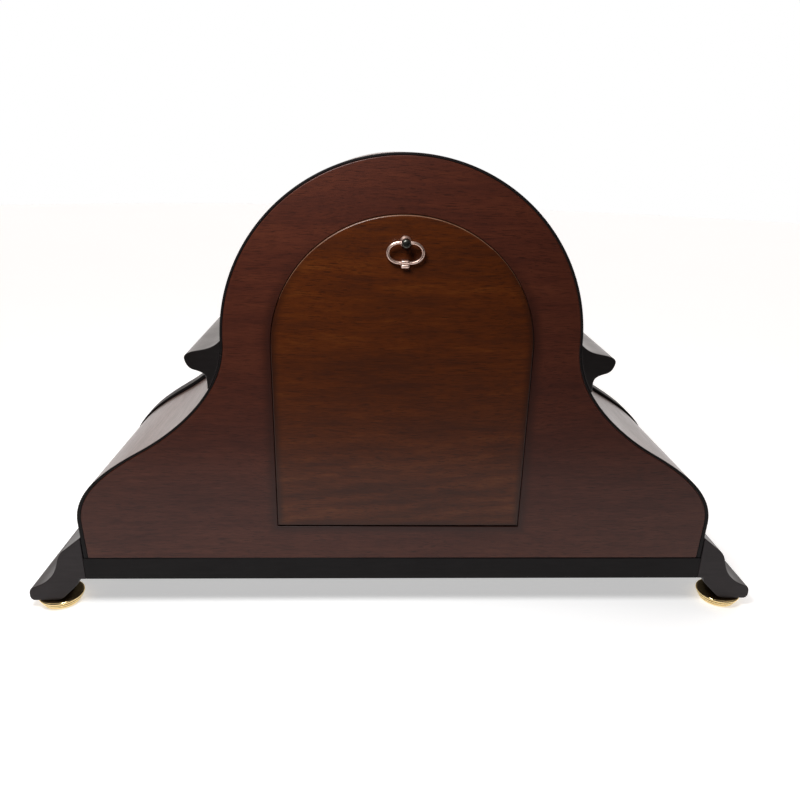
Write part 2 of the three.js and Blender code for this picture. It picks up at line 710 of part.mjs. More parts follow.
// Centre arbor: driven pinion, centre wheel, cannon pinion, and the pipe that carries the minute hand.
function centreWheel() {
  const at = AT.centre;
  return join(
    arbor(at, 1.5, -153, BACK_PLATE.rear + 1),
    rodY(2.5, -150, -116, at, 16),
    pinion(T.leafTeeth, T.intermediateModule, M.wheelToCentre.to, at, -76, -72.4),
    wheel(T.centreTeeth, T.centreModule, M.centreToThird.from, at, -70.6, -69),
    pinion(T.cannonTeeth, T.cannonModule, M.cannonToMinute.to, at, -117, -113.6),
  );
}

function thirdWheel() {
  const at = AT.third;
  return join(
    arbor(at, 1.3, FRONT_PLATE.front - 1, BACK_PLATE.rear + 1),
    pinion(T.leafTeeth, T.centreModule, M.centreToThird.to, at, -71.4, -68.2),
    wheel(T.thirdTeeth, T.thirdModule, M.thirdToEscape.from, at, -81, -79.6),
  );
}

function minuteWheel() {
  const at = AT.minuteWheel;
  return join(
    wheel(T.minuteWheelTeeth, T.cannonModule, M.cannonToMinute.from, at, -116.6, -114.2),
    pinion(T.minutePinionTeeth, T.hourModule, M.minuteToHour.to, at, -121.4, -116),
  ).subtract(rodY(1.5 + 0.35, -123, -113, at, 12));
}

function hourWheel() {
  const at = AT.centre;
  return join(
    wheel(T.hourTeeth, T.hourModule, M.minuteToHour.from, at, -120.6, -118.8),
    tubeY(2.9, 3.9, -149.7, -118, at, 20),
  ).subtract(rodY(2.9, -151, -116, at, 20));
}

// ---------------------------------------------------------------- movement frame
const PLATE_HOLES = [
  ...WINDING_HOLES.map((at) => [3 + PLATE_BORE, at]),
  [1.3 + PLATE_BORE, AT.intermediate],
  [1.5 + PLATE_BORE, AT.centre],
  [1.3 + PLATE_BORE, AT.third],
  [1 + PLATE_BORE, AT.escape],
  [1.6 + PLATE_BORE, AT.pinBarrel],
];
const PLATE = { left: -72, right: 72, low: -80, high: 38 };
const PILLARS = [
  [PLATE.left + 6, PLATE.high - 6],
  [PLATE.right - 6, PLATE.high - 6],
  [PLATE.left + 6, PLATE.low + 6],
  [PLATE.right - 6, PLATE.low + 6],
];

function movementPlate(y0, y1, extraHoles) {
  const cut = 8;
  const { left, right, low, high } = PLATE;
  const shape = shapeFrom([
    [left + cut, low],
    [right - cut, low],
    [right, low + cut],
    [right, high - cut],
    [right - cut, high],
    [left + cut, high],
    [left, high - cut],
    [left, low + cut],
  ]);
  for (const [radius, at] of [...PLATE_HOLES, ...extraHoles]) shape.holes.push(roundHole(radius, at));
  return slab(shape, y1, y0, 4);
}

// The front plate carries the four riveted pillars and the studs of the motion work and selector.
function frontPlate() {
  return join(
    movementPlate(FRONT_PLATE.front, FRONT_PLATE.rear, []),
    ...PILLARS.map((at) => rodY(3, FRONT_PLATE.rear - 0.5, BACK_PLATE.front - GAP, at)),
    rodY(1.5, -122.4, FRONT_PLATE.rear - 0.5, AT.minuteWheel),
    rodY(1.5, -119.6, FRONT_PLATE.rear - 0.5, AT.selector),
  );
}

const backPlate = () =>
  movementPlate(BACK_PLATE.front, BACK_PLATE.rear, [[1.5 + GAP, AT.hammerShaft]]);

// Bent strap between the front plate and the back of the front panel.
function movementMount() {
  const shape = new THREE.Shape(
    [
      [62, FRONT_PLATE.front - GAP],
      [62, FRONT_PLATE.front - GAP - 2],
      [80, FRONT_PLATE.front - GAP - 2],
      [80, PANEL_REAR_Y + GAP],
      [104, PANEL_REAR_Y + GAP],
      [104, PANEL_REAR_Y + GAP + 2],
      [82, PANEL_REAR_Y + GAP + 2],
      [82, FRONT_PLATE.front - GAP],
    ].map(([x, y]) => new THREE.Vector2(x, y)),
  );
  const g = new THREE.ExtrudeGeometry(shape, { depth: 30, bevelEnabled: false });
  g.translate(0, 0, -20);
  return solid(g);
}

function selectorLever() {
  const [x, z] = AT.selector;
  return join(
    tubeY(1.5 + GAP, 3.4, -119.4, -116.4, AT.selector),
    block([x + 2.6, x + 17.2], [-118.6, -117.2], [z - 2, z + 2]),
    rodY(1.2, -151.5, -117.2, [x + 16, z], 10),
  );
}

// ---------------------------------------------------------------- escapement platform
const LEVER_HALF_SPAN = 3; // from the lever's pivot to each pallet

function platform() {
  const [x, z] = AT.pallets;
  const plate = block([x - 14, x + 20], [-61.6, -60], [z - 11, z + 11]);
  const posts = [
    [-11, 8],
    [17, 8],
    [17, -8],
  ].map(([dx, dz]) => rodY(1.8, -64 + GAP, -60.5, [x + dx, z + dz]));
  const bores = [
    rodY(1 + GAP, -65, -58, AT.escape),
    rodY(0.6 + GAP, -65, -58, AT.pallets),
    rodY(0.8 + GAP, -65, -58, AT.balance),
  ];
  return bores.reduce((b, hole) => b.subtract(hole), join(plate, ...posts));
}

// Escape pinion between the plates, and the escape wheel behind the platform.
function escapeWheel() {
  const at = AT.escape;
  const teeth = [[-1.2, -0.3], [0.6, -0.42], [0.6, -0.3], [-1.2, 0.1]];
  return join(
    arbor(at, 1, FRONT_PLATE.front - 1, -57.4),
    pinion(T.leafTeeth, T.thirdModule, M.thirdToEscape.to, at, -82, -78.6),
    slab(toothed(15, 0.45, 0, at, teeth), -58.4, -59.4),
  );
}

function palletLever() {
  const [x, z] = AT.pallets;
  const pallets = [-1, 1].map((side) => {
    const at = z + side * LEVER_HALF_SPAN;
    return block([x - 1.9, x + 0.6], [-59.2, -58.6], [at - 0.35, at + 0.35]);
  });
  return join(
    rodY(0.6, -61.2, -57.6, AT.pallets, 10),
    block([x - 0.6, x + 0.6], [-59.2, -58.6], [z - LEVER_HALF_SPAN, z + LEVER_HALF_SPAN]),
    block([x, x + 3.6], [-59.2, -58.6], [z - 0.5, z + 0.5]),
    ...pallets,
  );
}

function balanceCock() {
  const [x, z] = AT.balance;
  const arm = block([x - 3, x + 13.5], [-50.6, -49], [z - 2.6, z + 2.6]);
  const foot = block([x + 10, x + 13.5], [-60 + GAP, -50], [z - 2.6, z + 2.6]);
  return join(arm, foot, rodY(3.6, -50.6, -49, AT.balance, 16)).subtract(
    rodY(0.8 + GAP, -52, -48, AT.balance),
  );
}

function balanceWheel() {
  const at = AT.balance;
  return join(
    tubeY(7.4, 9, -56.4, -54.8, at, 28),
    barXZ([at[0] - 8, at[1]], [at[0] + 8, at[1]], 1.6, -56, -55.2),
    rodY(1.8, -56.4, -54, at, 12),
    rodY(0.8, -61.4, -49.4, at, 10),
  );
}

// ---------------------------------------------------------------- chime work
function pinBarrel() {
  const at = AT.pinBarrel;
  const pins = [];
  CHIME_RODS.ys.forEach((y, row) => {
    for (let k = 0; k < 4; k++) {
      const [px, pz] = polar(10, 90 * k + 22.5 * row + 20, at);
      pins.push(barXZ(at, [px, pz], 1.1, y - 0.6, y + 0.6));
    }
  });
  return join(
    arbor(at, 1.6, FRONT_PLATE.front - 1, -17),
    pinion(T.chimePinionTeeth, T.greatModule, M.chimeToPins.to, at, -109.4, -105.8),
    rodY(8, -60.5, -22.5, at, 20),
    ...pins,
  );
}

// Bridge behind the back plate: it carries the pin barrel's rear pivot and the hammers' shaft.
function hammerBracket() {
  const p = AT.pinBarrel;
  const h = AT.hammerShaft;
  const shape = shapeFrom([
    [p[0] - 12, p[1] - 6],
    [h[0] - 2, h[1] - 7],
    [h[0] + 20, h[1] - 7],
    [h[0] + 20, h[1] + 4],
    [p[0] + 8, p[1] + 12],
    [p[0] - 12, p[1] + 12],
  ]);
  shape.holes.push(roundHole(2, p));
  const posts = [
    [p[0] - 9, p[1] + 9],
    [h[0] + 16, h[1] - 3],
  ].map((at) => rodY(2.2, BACK_PLATE.rear + GAP, -19, at));
  const shaft = rodY(1.5, BACK_PLATE.front + 0.5, -17, h);
  return join(slab(shape, -18, -20, 6), shaft, ...posts);
}

// A hammer hangs over its chime rod, and its tail reaches up to just clear of the barrel's pins.
function hammer(y) {
  const [hx, hz] = AT.hammerShaft;
  const head = AT.hammerHead;
  const [px, pz] = AT.pinBarrel;
  const reach = Math.hypot(px - hx, pz - hz);
  const tail = (reach - 10 - 0.8) / reach;
  return join(
    rodY(3.6, y - 2.5, y + 2.5, AT.hammerShaft, 14),
    barXZ([hx, hz], head, 2.6, y - 1, y + 1),
    barXZ([hx, hz], [hx + (px - hx) * tail, hz + (pz - hz) * tail], 2.4, y - 1, y + 1),
    rodZ(3.6, head[1] - 7, head[1] + 5, head[0], y, 14),
  ).subtract(rodY(1.5 + GAP, y - 4, y + 4, AT.hammerShaft, 12));
}

const ROD_BLOCK_X = 120;
function chimeRodBlock() {
  const z = CHIME_RODS.z;
  const body = block([ROD_BLOCK_X, ROD_BLOCK_X + 30], [-66, -16], [CASE_BOTTOM_Z + GAP, z + 12]);
  return CHIME_RODS.ys.reduce(
    (b, y) => b.subtract(rodX(CHIME_RODS.radius + GAP, ROD_BLOCK_X - 1, ROD_BLOCK_X + 12, y, z)),
    body,
  );
}

const chimeRod = (y, end) =>
  rodX(CHIME_RODS.radius, end, ROD_BLOCK_X + 11.5, y, CHIME_RODS.z, 8);

// ---------------------------------------------------------------- assembly
const clock = new THREE.Group();
const movement = new THREE.Group(); // its pieces are drawn round the hands' centre
movement.position.z = DRUM_Z;
clock.add(movement);

function put(name, made, material, group = clock) {
  const mesh = new THREE.Mesh(geometryOf(made), material);
  mesh.geometry.computeVertexNormals();
  mesh.name = name;
  group.add(mesh);
}

put("arch_shell", archShell(), MATERIAL.shellVeneer);
put("shoulder_shell_right", shoulderShell(), MATERIAL.shellVeneer);
put("shoulder_shell_left", mirrorX(shoulderShell()), MATERIAL.shellVeneer);
put("ear_moulding_right", earMoulding(), MATERIAL.ebony);
put("ear_moulding_left", mirrorX(earMoulding()), MATERIAL.ebony);
put("back_board", backBoard(), MATERIAL.cherry);
put("front_panel", frontPanel(), MATERIAL.cherry);
put("base_plinth", plinth(), MATERIAL.ebony);
put("side_runner_right", runner(), MATERIAL.ebony);
put("side_runner_left", mirrorX(runner()), MATERIAL.ebony);
for (const [end, y] of [["rear", -12], ["front", -138]]) {
  for (const [side, x] of [["right", 250], ["left", -250]]) {
    put(`foot_button_${end}_${side}`, footButton(x, y), MATERIAL.brass);
  }
}

put("back_door", backDoor(), MATERIAL.doorPly);
for (const [side, s] of [["right", 1], ["left", -1]]) {
  put(`door_pivot_pin_${side}`, pivotPin(s, PIVOT_PIN_RADIUS, 11.5), MATERIAL.brass);
}
put("door_pull_post", pullPost(), MATERIAL.brass);
put("door_pull_ring", pullRing(), MATERIAL.brass);
put("door_catch", doorCatch(), MATERIAL.steel);

put("dial_plate", dialPlate(), MATERIAL.dial);
put("bezel_ring", bezelRing(), MATERIAL.brass);
put("bezel_glass", bezelGlass(), MATERIAL.glass);
put("bezel_hinge", bezelHinge(), MATERIAL.brass);
put("bezel_hinge_pin", bezelHingePin(), MATERIAL.brass);
put("hour_hand", hand(44, 6.6, 3.9 + GAP, 5.4, 305, -149.5, -148.7), MATERIAL.handBlack);
put("minute_hand", hand(66, 4.6, 1.5 + GAP, 4, 60, -150.9, -150.3), MATERIAL.handBlack);
put("hand_nut", tubeY(1.5 + GAP, 3, -152.8, -151.2, [0, DRUM_Z], 20), MATERIAL.brass);

put("movement_front_plate", frontPlate(), MATERIAL.brassPlate, movement);
put("movement_back_plate", backPlate(), MATERIAL.brassPlate, movement);
put("movement_mount_right", movementMount(), MATERIAL.steel, movement);
put("movement_mount_left", mirrorX(movementMount()), MATERIAL.steel, movement);
put("time_barrel", barrel(AT.timeBarrel, M.greatToLeaf.from), MATERIAL.brassPlate, movement);
put("chime_barrel", barrel(AT.chimeBarrel, M.chimeToPins.from), MATERIAL.brassPlate, movement);
put("strike_barrel", barrel(AT.strikeBarrel, 0), MATERIAL.brassPlate, movement);
put("time_winding_arbor", windingArbor(AT.timeBarrel), MATERIAL.steel, movement);
put("chime_winding_arbor", windingArbor(AT.chimeBarrel), MATERIAL.steel, movement);
put("strike_winding_arbor", windingArbor(AT.strikeBarrel), MATERIAL.steel, movement);
put("intermediate_wheel", intermediateWheel(), MATERIAL.brassPlate, movement);
put("centre_wheel", centreWheel(), MATERIAL.brassPlate, movement);
put("third_wheel", thirdWheel(), MATERIAL.brassPlate, movement);
put("minute_wheel", minuteWheel(), MATERIAL.brassPlate, movement);
put("hour_wheel", hourWheel(), MATERIAL.brassPlate, movement);
put("chime_selector_lever", selectorLever(), MATERIAL.steel, movement);
put("escapement_platform", platform(), MATERIAL.brassPlate, movement);
put("escape_wheel", escapeWheel(), MATERIAL.brassPlate, movement);
put("pallet_lever", palletLever(), MATERIAL.steel, movement);
put("balance_cock", balanceCock(), MATERIAL.brassPlate, movement);
put("balance_wheel", balanceWheel(), MATERIAL.brass, movement);
put("chime_pin_barrel", pinBarrel(), MATERIAL.brassPlate, movement);
put("hammer_bracket", hammerBracket(), MATERIAL.brassPlate, movement);
CHIME_RODS.ys.forEach((y, i) => {
  put(`chime_hammer_${i + 1}`, hammer(y), MATERIAL.steel, movement);
  put(`chime_rod_${i + 1}`, chimeRod(y, CHIME_RODS.ends[i]), MATERIAL.steel);
});
put("chime_rod_block", chimeRodBlock(), MATERIAL.castIron);

clock.position.y = -(PULL_TIP_Y + BEZEL_FRONT_Y) / 2;

export default clock;
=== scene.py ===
"""Looks for a tambour mantel clock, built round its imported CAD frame.

Lengths are millimetres in case coordinates: x to the dial's right, y from the back face of the
case (the dial is at negative y) and z up from the surface that the clock stands on. The mesh
builders turn them into metres of the frame.
"""
import json
import math

import bmesh
import bpy
from mathutils import Matrix, Vector


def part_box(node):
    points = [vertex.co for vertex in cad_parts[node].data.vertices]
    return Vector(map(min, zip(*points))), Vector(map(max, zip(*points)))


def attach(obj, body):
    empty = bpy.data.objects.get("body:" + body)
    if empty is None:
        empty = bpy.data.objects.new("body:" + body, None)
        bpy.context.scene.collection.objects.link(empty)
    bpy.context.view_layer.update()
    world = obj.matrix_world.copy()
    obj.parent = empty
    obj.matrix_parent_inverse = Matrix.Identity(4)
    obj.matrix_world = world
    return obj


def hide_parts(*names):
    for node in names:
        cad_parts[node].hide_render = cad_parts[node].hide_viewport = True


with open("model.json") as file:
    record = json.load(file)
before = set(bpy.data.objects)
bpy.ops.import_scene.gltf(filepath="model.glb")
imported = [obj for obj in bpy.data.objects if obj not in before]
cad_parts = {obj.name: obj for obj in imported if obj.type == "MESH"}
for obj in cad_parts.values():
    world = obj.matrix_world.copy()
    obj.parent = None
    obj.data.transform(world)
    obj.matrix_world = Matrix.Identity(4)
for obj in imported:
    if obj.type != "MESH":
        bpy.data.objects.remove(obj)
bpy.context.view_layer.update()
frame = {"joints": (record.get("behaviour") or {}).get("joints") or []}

MM = 0.001
BACK_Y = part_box("back_board")[1].y  # the frame's y of the case's back face
TAU = 2 * math.pi
TINY = 1e-6  # a length below this counts as zero


def extent(node, axis):
    """Lowest and highest x, y or z of a CAD node, in case millimetres."""
    shift = BACK_Y if axis == "y" else 0
    return [(corner["xyz".index(axis)] - shift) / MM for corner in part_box(node)]


def low(node, axis):
    return extent(node, axis)[0]


def high(node, axis):
    return extent(node, axis)[1]


def middle(node, axis):
    return sum(extent(node, axis)) / 2


# ------------------------------------------------------------ driving dimensions
GAP = 0.3  # between separate pieces
SNUG = 0.15  # between pieces that fit closely
HAIRLINE = 0.05  # keeps the faces of touching pieces apart
DRUM_Z = middle("bezel_glass", "z")
DRUM_RADIUS = high("arch_shell", "z") - DRUM_Z
SHOULDER_X = high("shoulder_shell_right", "x")
SHOULDER_Z = 73
CASE_BOTTOM_Z = low("back_board", "z")
PLINTH_BOTTOM_Z = low("base_plinth", "z")
PANEL_REAR_Y = high("front_panel", "y")
PANEL_FRONT_Y = low("front_panel", "y")
BOARD_THICK = -low("back_board", "y")
SHELL_THICK = 5
SHELL_LIP = 1.6
SHELL_JOINT_Z = low("arch_shell", "z")
EAR_BOTTOM_Z = low("ear_moulding_right", "z")
DOOR_RADIUS = high("back_door", "x")
DOOR_ARCH_Z = high("back_door", "z") - DOOR_RADIUS
DOOR_BOTTOM_Z = low("back_door", "z")
DOOR_PROUD = high("back_door", "y")
BEZEL_FRONT_Y = low("bezel_ring", "y")
FRONT_PLATE_Y = (-112, -110)
BACK_PLATE_Y = (-66, -64)
ROD_YS = [middle(f"chime_rod_{i}", "y") for i in (1, 2, 3, 4)]
PIVOTS = {
    j["child"]: Vector((j["pos_m"][0], j["pos_m"][1] - BACK_Y, j["pos_m"][2])) / MM
    for j in frame["joints"]
}


def axis_of(body):
    """Where a body's turning axis crosses the plane of the movement plates: x, z."""
    return PIVOTS[body].x, PIVOTS[body].z


# ------------------------------------------------------------ mesh builders
SHARP_DEGREES = 32  # edges that turn more than this stay sharp


def place(x, y, z):
    return Vector((x * MM, BACK_Y + y * MM, z * MM))


def close(bm, name):
    """The finished mesh of a builder, welded and facing out."""
    bmesh.ops.remove_doubles(bm, verts=bm.verts, dist=0.002 * MM)
    bmesh.ops.dissolve_degenerate(bm, edges=bm.edges, dist=0.001 * MM)
    bmesh.ops.recalc_face_normals(bm, faces=bm.faces)
    mesh = bpy.data.meshes.new(name)
    bm.to_mesh(mesh)
    bm.free()
    return mesh


def signed_area(loop):
    return sum(a[0] * b[1] - b[0] * a[1] for a, b in zip(loop, loop[1:] + loop[:1])) / 2


def add_spline(curve, points, cyclic):
    """Straight lines between points of a curve, each given as x, y and z."""
    spline = curve.splines.new("POLY")
    spline.points.add(len(points) - 1)
    for point, xyz in zip(spline.points, points):
        point.co = (*xyz, 1)
    spline.use_cyclic_u = cyclic


def curve_solid(curve):
    """The faces that a curve's fill and bevel make. The curve itself goes."""
    holder = bpy.data.objects.new("curve", curve)
    raw = bpy.data.meshes.new_from_object(holder)
    bpy.data.objects.remove(holder)
    bpy.data.curves.remove(curve)
    bm = bmesh.new()
    bm.from_mesh(raw)
    bpy.data.meshes.remove(raw)
    return bm


def prism(outer, y0, y1, holes=(), bevel=0.2, steps=2):
    """A closed outline in x and z, with holes, between two y planes and with its edges rounded."""
    curve = bpy.data.curves.new("outline", "CURVE")
    curve.dimensions = "2D"
    curve.fill_mode = "BOTH"
    curve.extrude = (y1 - y0) / 2 - bevel
    curve.bevel_depth = bevel
    curve.bevel_resolution = steps
    curve.offset = -bevel
    for number, loop in enumerate((outer, *holes)):
        loop = list(loop)
        if (signed_area(loop) > 0) != (number == 0):
            loop.reverse()
        add_spline(curve, [(x, z, 0) for x, z in loop], True)
    bm = curve_solid(curve)
    centre = (y0 + y1) / 2
    for v in bm.verts:
        v.co = place(v.co.x, centre - v.co.z, v.co.y)
    return close(bm, "prism")


def lathe(profile, centre, axis, segments):
    """A profile of (radius, height) turned about an axis. It starts and ends on it, or closes."""
    bm = bmesh.new()
    first, second = centre

    def point(r, h, k):
        a, b = first + r * math.cos(TAU * k / segments), second + r * math.sin(TAU * k / segments)
        return {"X": place(h, a, b), "Y": place(a, h, b), "Z": place(a, b, h)}[axis]

    rings = []
    for r, h in profile:
        count = 1 if r == 0 else segments
        rings.append([bm.verts.new(point(r, h, k)) for k in range(count)])
    if profile[0][0] > 0:
        rings.append(rings[0])
    for a, b in zip(rings, rings[1:]):
        for k in range(segments):
            n = k + 1
            corners = [a[k % len(a)], a[n % len(a)], b[n % len(b)], b[k % len(b)]]
            corners = list(dict.fromkeys(corners))
            if len(corners) > 2:
                bm.faces.new(corners)
    return close(bm, "lathe")


def tube(points, radius, closed=False, sides=4):
    """Round wire along straight lines between points."""
    curve = bpy.data.curves.new("wire", "CURVE")
    curve.dimensions = "3D"
    curve.bevel_depth = radius * MM
    curve.bevel_resolution = sides
    curve.use_fill_caps = not closed
    add_spline(curve, [place(*p) for p in points], closed)
    return close(curve_solid(curve), "wire")


def collar(at, radii, heights, corner, steps, axis="Y", segments=32):
    """A turned ring between two radii and two heights, with its corners rounded."""
    (inner, outer), (start, end) = radii, heights
    section = rounded([(inner, start), (outer, start), (outer, end), (inner, end)], corner, steps)
    return lathe(section, at, axis, segments)


def spindle(at, radius, ys, segments=20):
    """A plain turned pin between two y planes."""
    return lathe([(0, ys[0]), (radius, ys[0]), (radius, ys[1]), (0, ys[1])], at, "Y", segments)


def block(xs, ys, zs, bevel, steps=2):
    """A box between pairs of planes, with rounded edges."""
    bm = bmesh.new()
    bmesh.ops.create_cube(bm, size=1)
    for v in bm.verts:
        v.co = place(*(a + (b - a) * (c + 0.5) for (a, b), c in zip((xs, ys, zs), v.co)))
    bmesh.ops.bevel(bm, geom=bm.edges[:], offset=bevel * MM, segments=steps, profile=0.5, affect="EDGES")
    return close(bm, "block")


def mirrored(mesh):
    """The same mesh on the other side of x = 0."""
    bm = bmesh.new()
    bm.from_mesh(mesh)
    for v in bm.verts:
        v.co.x = -v.co.x
    bmesh.ops.reverse_faces(bm, faces=bm.faces)
    return close(bm, "mirrored")


def for_side(mesh, side):
    """The mesh itself on the right, and its mirror image on the left."""
    return mesh if side == "right" else mirrored(mesh)


def turned(mesh, centre, degrees, axis):
    """A mesh turned about a point given in case millimetres."""
    p = place(*centre)
    mesh.transform(
        Matrix.Translation(p) @ Matrix.Rotation(math.radians(degrees), 4, axis) @ Matrix.Translation(-p)
    )
    return mesh


def piece(name, body, parts, replaces=()):
    """One visible piece made of (mesh, material) parts, riding on a body of the frame."""
    bm = bmesh.new()
    materials = []
    for mesh, material in parts:
        if material not in materials:
            materials.append(material)
        start = len(bm.faces)
        bm.from_mesh(mesh)
        bm.faces.ensure_lookup_table()
        for face in bm.faces[start:]:
            face.material_index = materials.index(material)
        bpy.data.meshes.remove(mesh)
    data = bpy.data.meshes.new(name)
    bm.to_mesh(data)
    bm.free()
    for material in materials:
        data.materials.append(material)
    data.shade_smooth()
    data.set_sharp_from_angle(angle=math.radians(SHARP_DEGREES))
    thing = bpy.data.objects.new(name, data)
    bpy.context.scene.collection.objects.link(thing)
    even = thing.modifiers.new("even_shading", "WEIGHTED_NORMAL")
    even.keep_sharp = True
    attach(thing, body)
    if replaces:
        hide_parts(*replaces)
    return thing


def stand_in(node, suffix, body, parts):
    """A piece that is seen in place of one CAD node, and is named after it."""
    return piece(f"{node}_{suffix}", body, parts, [node])


def paint_faces(obj, material, wanted):
    """Gives another material to the faces whose normal is wanted."""
    obj.data.materials.append(material)
    for face in obj.data.polygons:
        if wanted(face.normal):
            face.material_index = len(obj.data.materials) - 1


# ------------------------------------------------------------ outlines
def bezier(a, b, c, d, count):
    """Points of a cubic curve, without its first."""
    out = []
    for k in range(1, count + 1):
        t = k / count
        w = ((1 - t) ** 3, 3 * t * (1 - t) ** 2, 3 * t * t * (1 - t), t**3)
        out.append(tuple(sum(wi * p[i] for wi, p in zip(w, (a, b, c, d))) for i in (0, 1)))
    return out


def arc(radius, start, end, count, centre=(0, 0)):
    """Points of an arc between two angles in degrees, both ends included."""
    angles = [math.radians(start + (end - start) * k / count) for k in range(count + 1)]
    return [(centre[0] + radius * math.cos(a), centre[1] + radius * math.sin(a)) for a in angles]


def circle(radius, centre, count=32):
    return arc(radius, 0, 360, count, centre)[:-1]


def rounded(points, radius, steps, closed=True):
    """An outline with each of its sharp corners replaced by a small curve."""
    out = []
    last = len(points) - 1
    for i, p in enumerate(points):
        if not closed and i in (0, last):
            out.append(p)
            continue
        a, b = Vector(points[i - 1]), Vector(points[(i + 1) % len(points)])
        corner = Vector(p)
        back, ahead = a - corner, b - corner
        if min(back.length, ahead.length) < TINY or back.angle(ahead) > math.radians(160):
            out.append(p)
            continue
        reach = min(radius, back.length * 0.45, ahead.length * 0.45)
        start, end = corner + back.normalized() * reach, corner + ahead.normalized() * reach
        for k in range(steps + 1):
            t = k / steps
            q = start * (1 - t) ** 2 + corner * 2 * t * (1 - t) + end * t * t
            out.append((q.x, q.y))
    return out


def shifted(points, at):
    """An outline given from a centre, at its place in x and z."""
    return [(at[0] + x, at[1] + z) for x, z in points]


def rectangle(at, xs, zs, radius, steps):
    """An outline with four rounded corners, given from a centre."""
    corners = [(xs[0], zs[0]), (xs[1], zs[0]), (xs[1], zs[1]), (xs[0], zs[1])]
    return rounded(shifted(corners, at), radius, steps)


def half_outline():
    """Right half of the case's outline, from its bottom corner over the ogee to the drum's top."""
    knee = (SHOULDER_X - 49.4, SHOULDER_Z + 55)
    belly = bezier(
        (SHOULDER_X, SHOULDER_Z),
        (SHOULDER_X, SHOULDER_Z + 26),
        (SHOULDER_X - 28.6, SHOULDER_Z + 43),
        knee,
        28,
    )
    sweep = bezier(
        knee,
        (SHOULDER_X - 73.6, SHOULDER_Z + 69),
        (DRUM_RADIUS, DRUM_Z - 34),
        (DRUM_RADIUS, DRUM_Z),
        36,
    )
    drum = arc(DRUM_RADIUS, 0, 90, 60, (0, DRUM_Z))
    return [(SHOULDER_X - 0.8, CASE_BOTTOM_Z), (SHOULDER_X, SHOULDER_Z)] + belly + sweep + drum[1:]


def inset(points, distance):
    """The half outline moved inwards by a distance that may depend on the height."""
    out = []
    for i, (x, z) in enumerate(points):
        ax, az = points[max(i - 1, 0)]
        bx, bz = points[min(i + 1, len(points) - 1)]
        length = math.hypot(bx - ax, bz - az)
        d = distance(z) if callable(distance) else distance
        out.append((x - d * (bz - az) / length, z + d * (bx - ax) / length))
    out[0] = (out[0][0], points[0][1])
    if points[-1][0] < TINY:
        out[-1] = (0, out[-1][1])
    return out


def whole(half):
    """Both halves of a half outline as one loop."""
    return half + [(-x, z) for x, z in reversed(half) if x > TINY]


def between(points, z_low, z_high):
    """The part of a half outline between two heights, with its ends exactly there."""

    def at(z):
        for (ax, az), (bx, bz) in zip(points, points[1:]):
            if az <= z <= bz:
                return ax + (bx - ax) * (z - az) / (bz - az), z
        return points[-1]

    return [at(z_low)] + [p for p in points if z_low < p[1] < z_high] + [at(z_high)]


OUTLINE = half_outline()


# ------------------------------------------------------------ materials
class Nodes:
    """A node tree, with short ways to add and link nodes."""

    def __init__(self, tree, surface, coords):
        self.tree = tree
        self.surface = tree.nodes[surface]
        self.coords = tree.nodes.new("ShaderNodeTexCoord").outputs[coords]

    def node(self, kind, _out=0, _set=None, **inputs):
        """Adds a node. Each input is a number, a colour, a vector or another node's output."""
        made = self.tree.nodes.new("ShaderNode" + kind)
        for key, value in (_set or {}).items():
            setattr(made, key, value)
        for key, value in inputs.items():
            socket = made.inputs[int(key[1:])] if key[0] == "_" else made.inputs[key.replace("_", " ")]
            if isinstance(value, bpy.types.NodeSocket):
                self.tree.links.new(value, socket)
            else:
                socket.default_value = value
        return made.outputs[_out]

    def axis(self, index):
        """The x, y or z of the point or the direction that is shaded."""
        return self.node("SeparateXYZ", index, Vector=self.coords)

    def calc(self, operation, a, b):
        return self.node("Math", _set={"operation": operation}, _0=a, _1=b)

    def stretched(self, scale):
        return self.node("Mapping", Vector=self.coords, Scale=scale)

    def noise(self, vector, scale, detail, rough=0.55):
        return self.node("TexNoise", Vector=vector, Scale=scale, Detail=detail, Roughness=rough)

    def ramp(self, value, *stops):
        """A colour ramp of (position, colour) stops; a number stands for a grey."""
        made = self.tree.nodes.new("ShaderNodeValToRGB")
        self.tree.links.new(value, made.inputs[0])
        elements = made.color_ramp.elements
        while len(elements) < len(stops):
            elements.new(0.5)
        for element, (position, colour) in zip(elements, stops):
            element.position = position
            element.color = (*colour, 1) if isinstance(colour, tuple) else (colour,) * 3 + (1,)
        return made.outputs["Color"]

    def mix(self, factor, a, b):
        made = self.tree.nodes.new("ShaderNodeMix")
        made.data_type = "RGBA"
        for socket, value in ((made.inputs[0], factor), (made.inputs[6], a), (made.inputs[7], b)):
            if isinstance(value, bpy.types.NodeSocket):
                self.tree.links.new(value, socket)
            elif isinstance(value, tuple):
                socket.default_value = (*value, 1)
            else:
                socket.default_value = value
        return made.outputs[2]

    def to(self, socket, value):
        self.tree.links.new(value, self.surface.inputs[socket])


class Shader(Nodes):
    """A material. Its Principled sockets are set by name."""

    def __init__(self, name, **sockets):
        self.material = bpy.data.materials.new(name)
        self.material.use_nodes = True
        super().__init__(self.material.node_tree, "Principled BSDF", "Object")
        for key, value in sockets.items():
            self.surface.inputs[key.replace("_", " ")].default_value = value

    def bump(self, height, depth_mm, strength):
        """Height from 0 to 1 as a relief of a real depth."""
        out = self.node("Bump", Height=height, Distance=depth_mm * MM, Strength=strength)
        self.to("Normal", out)


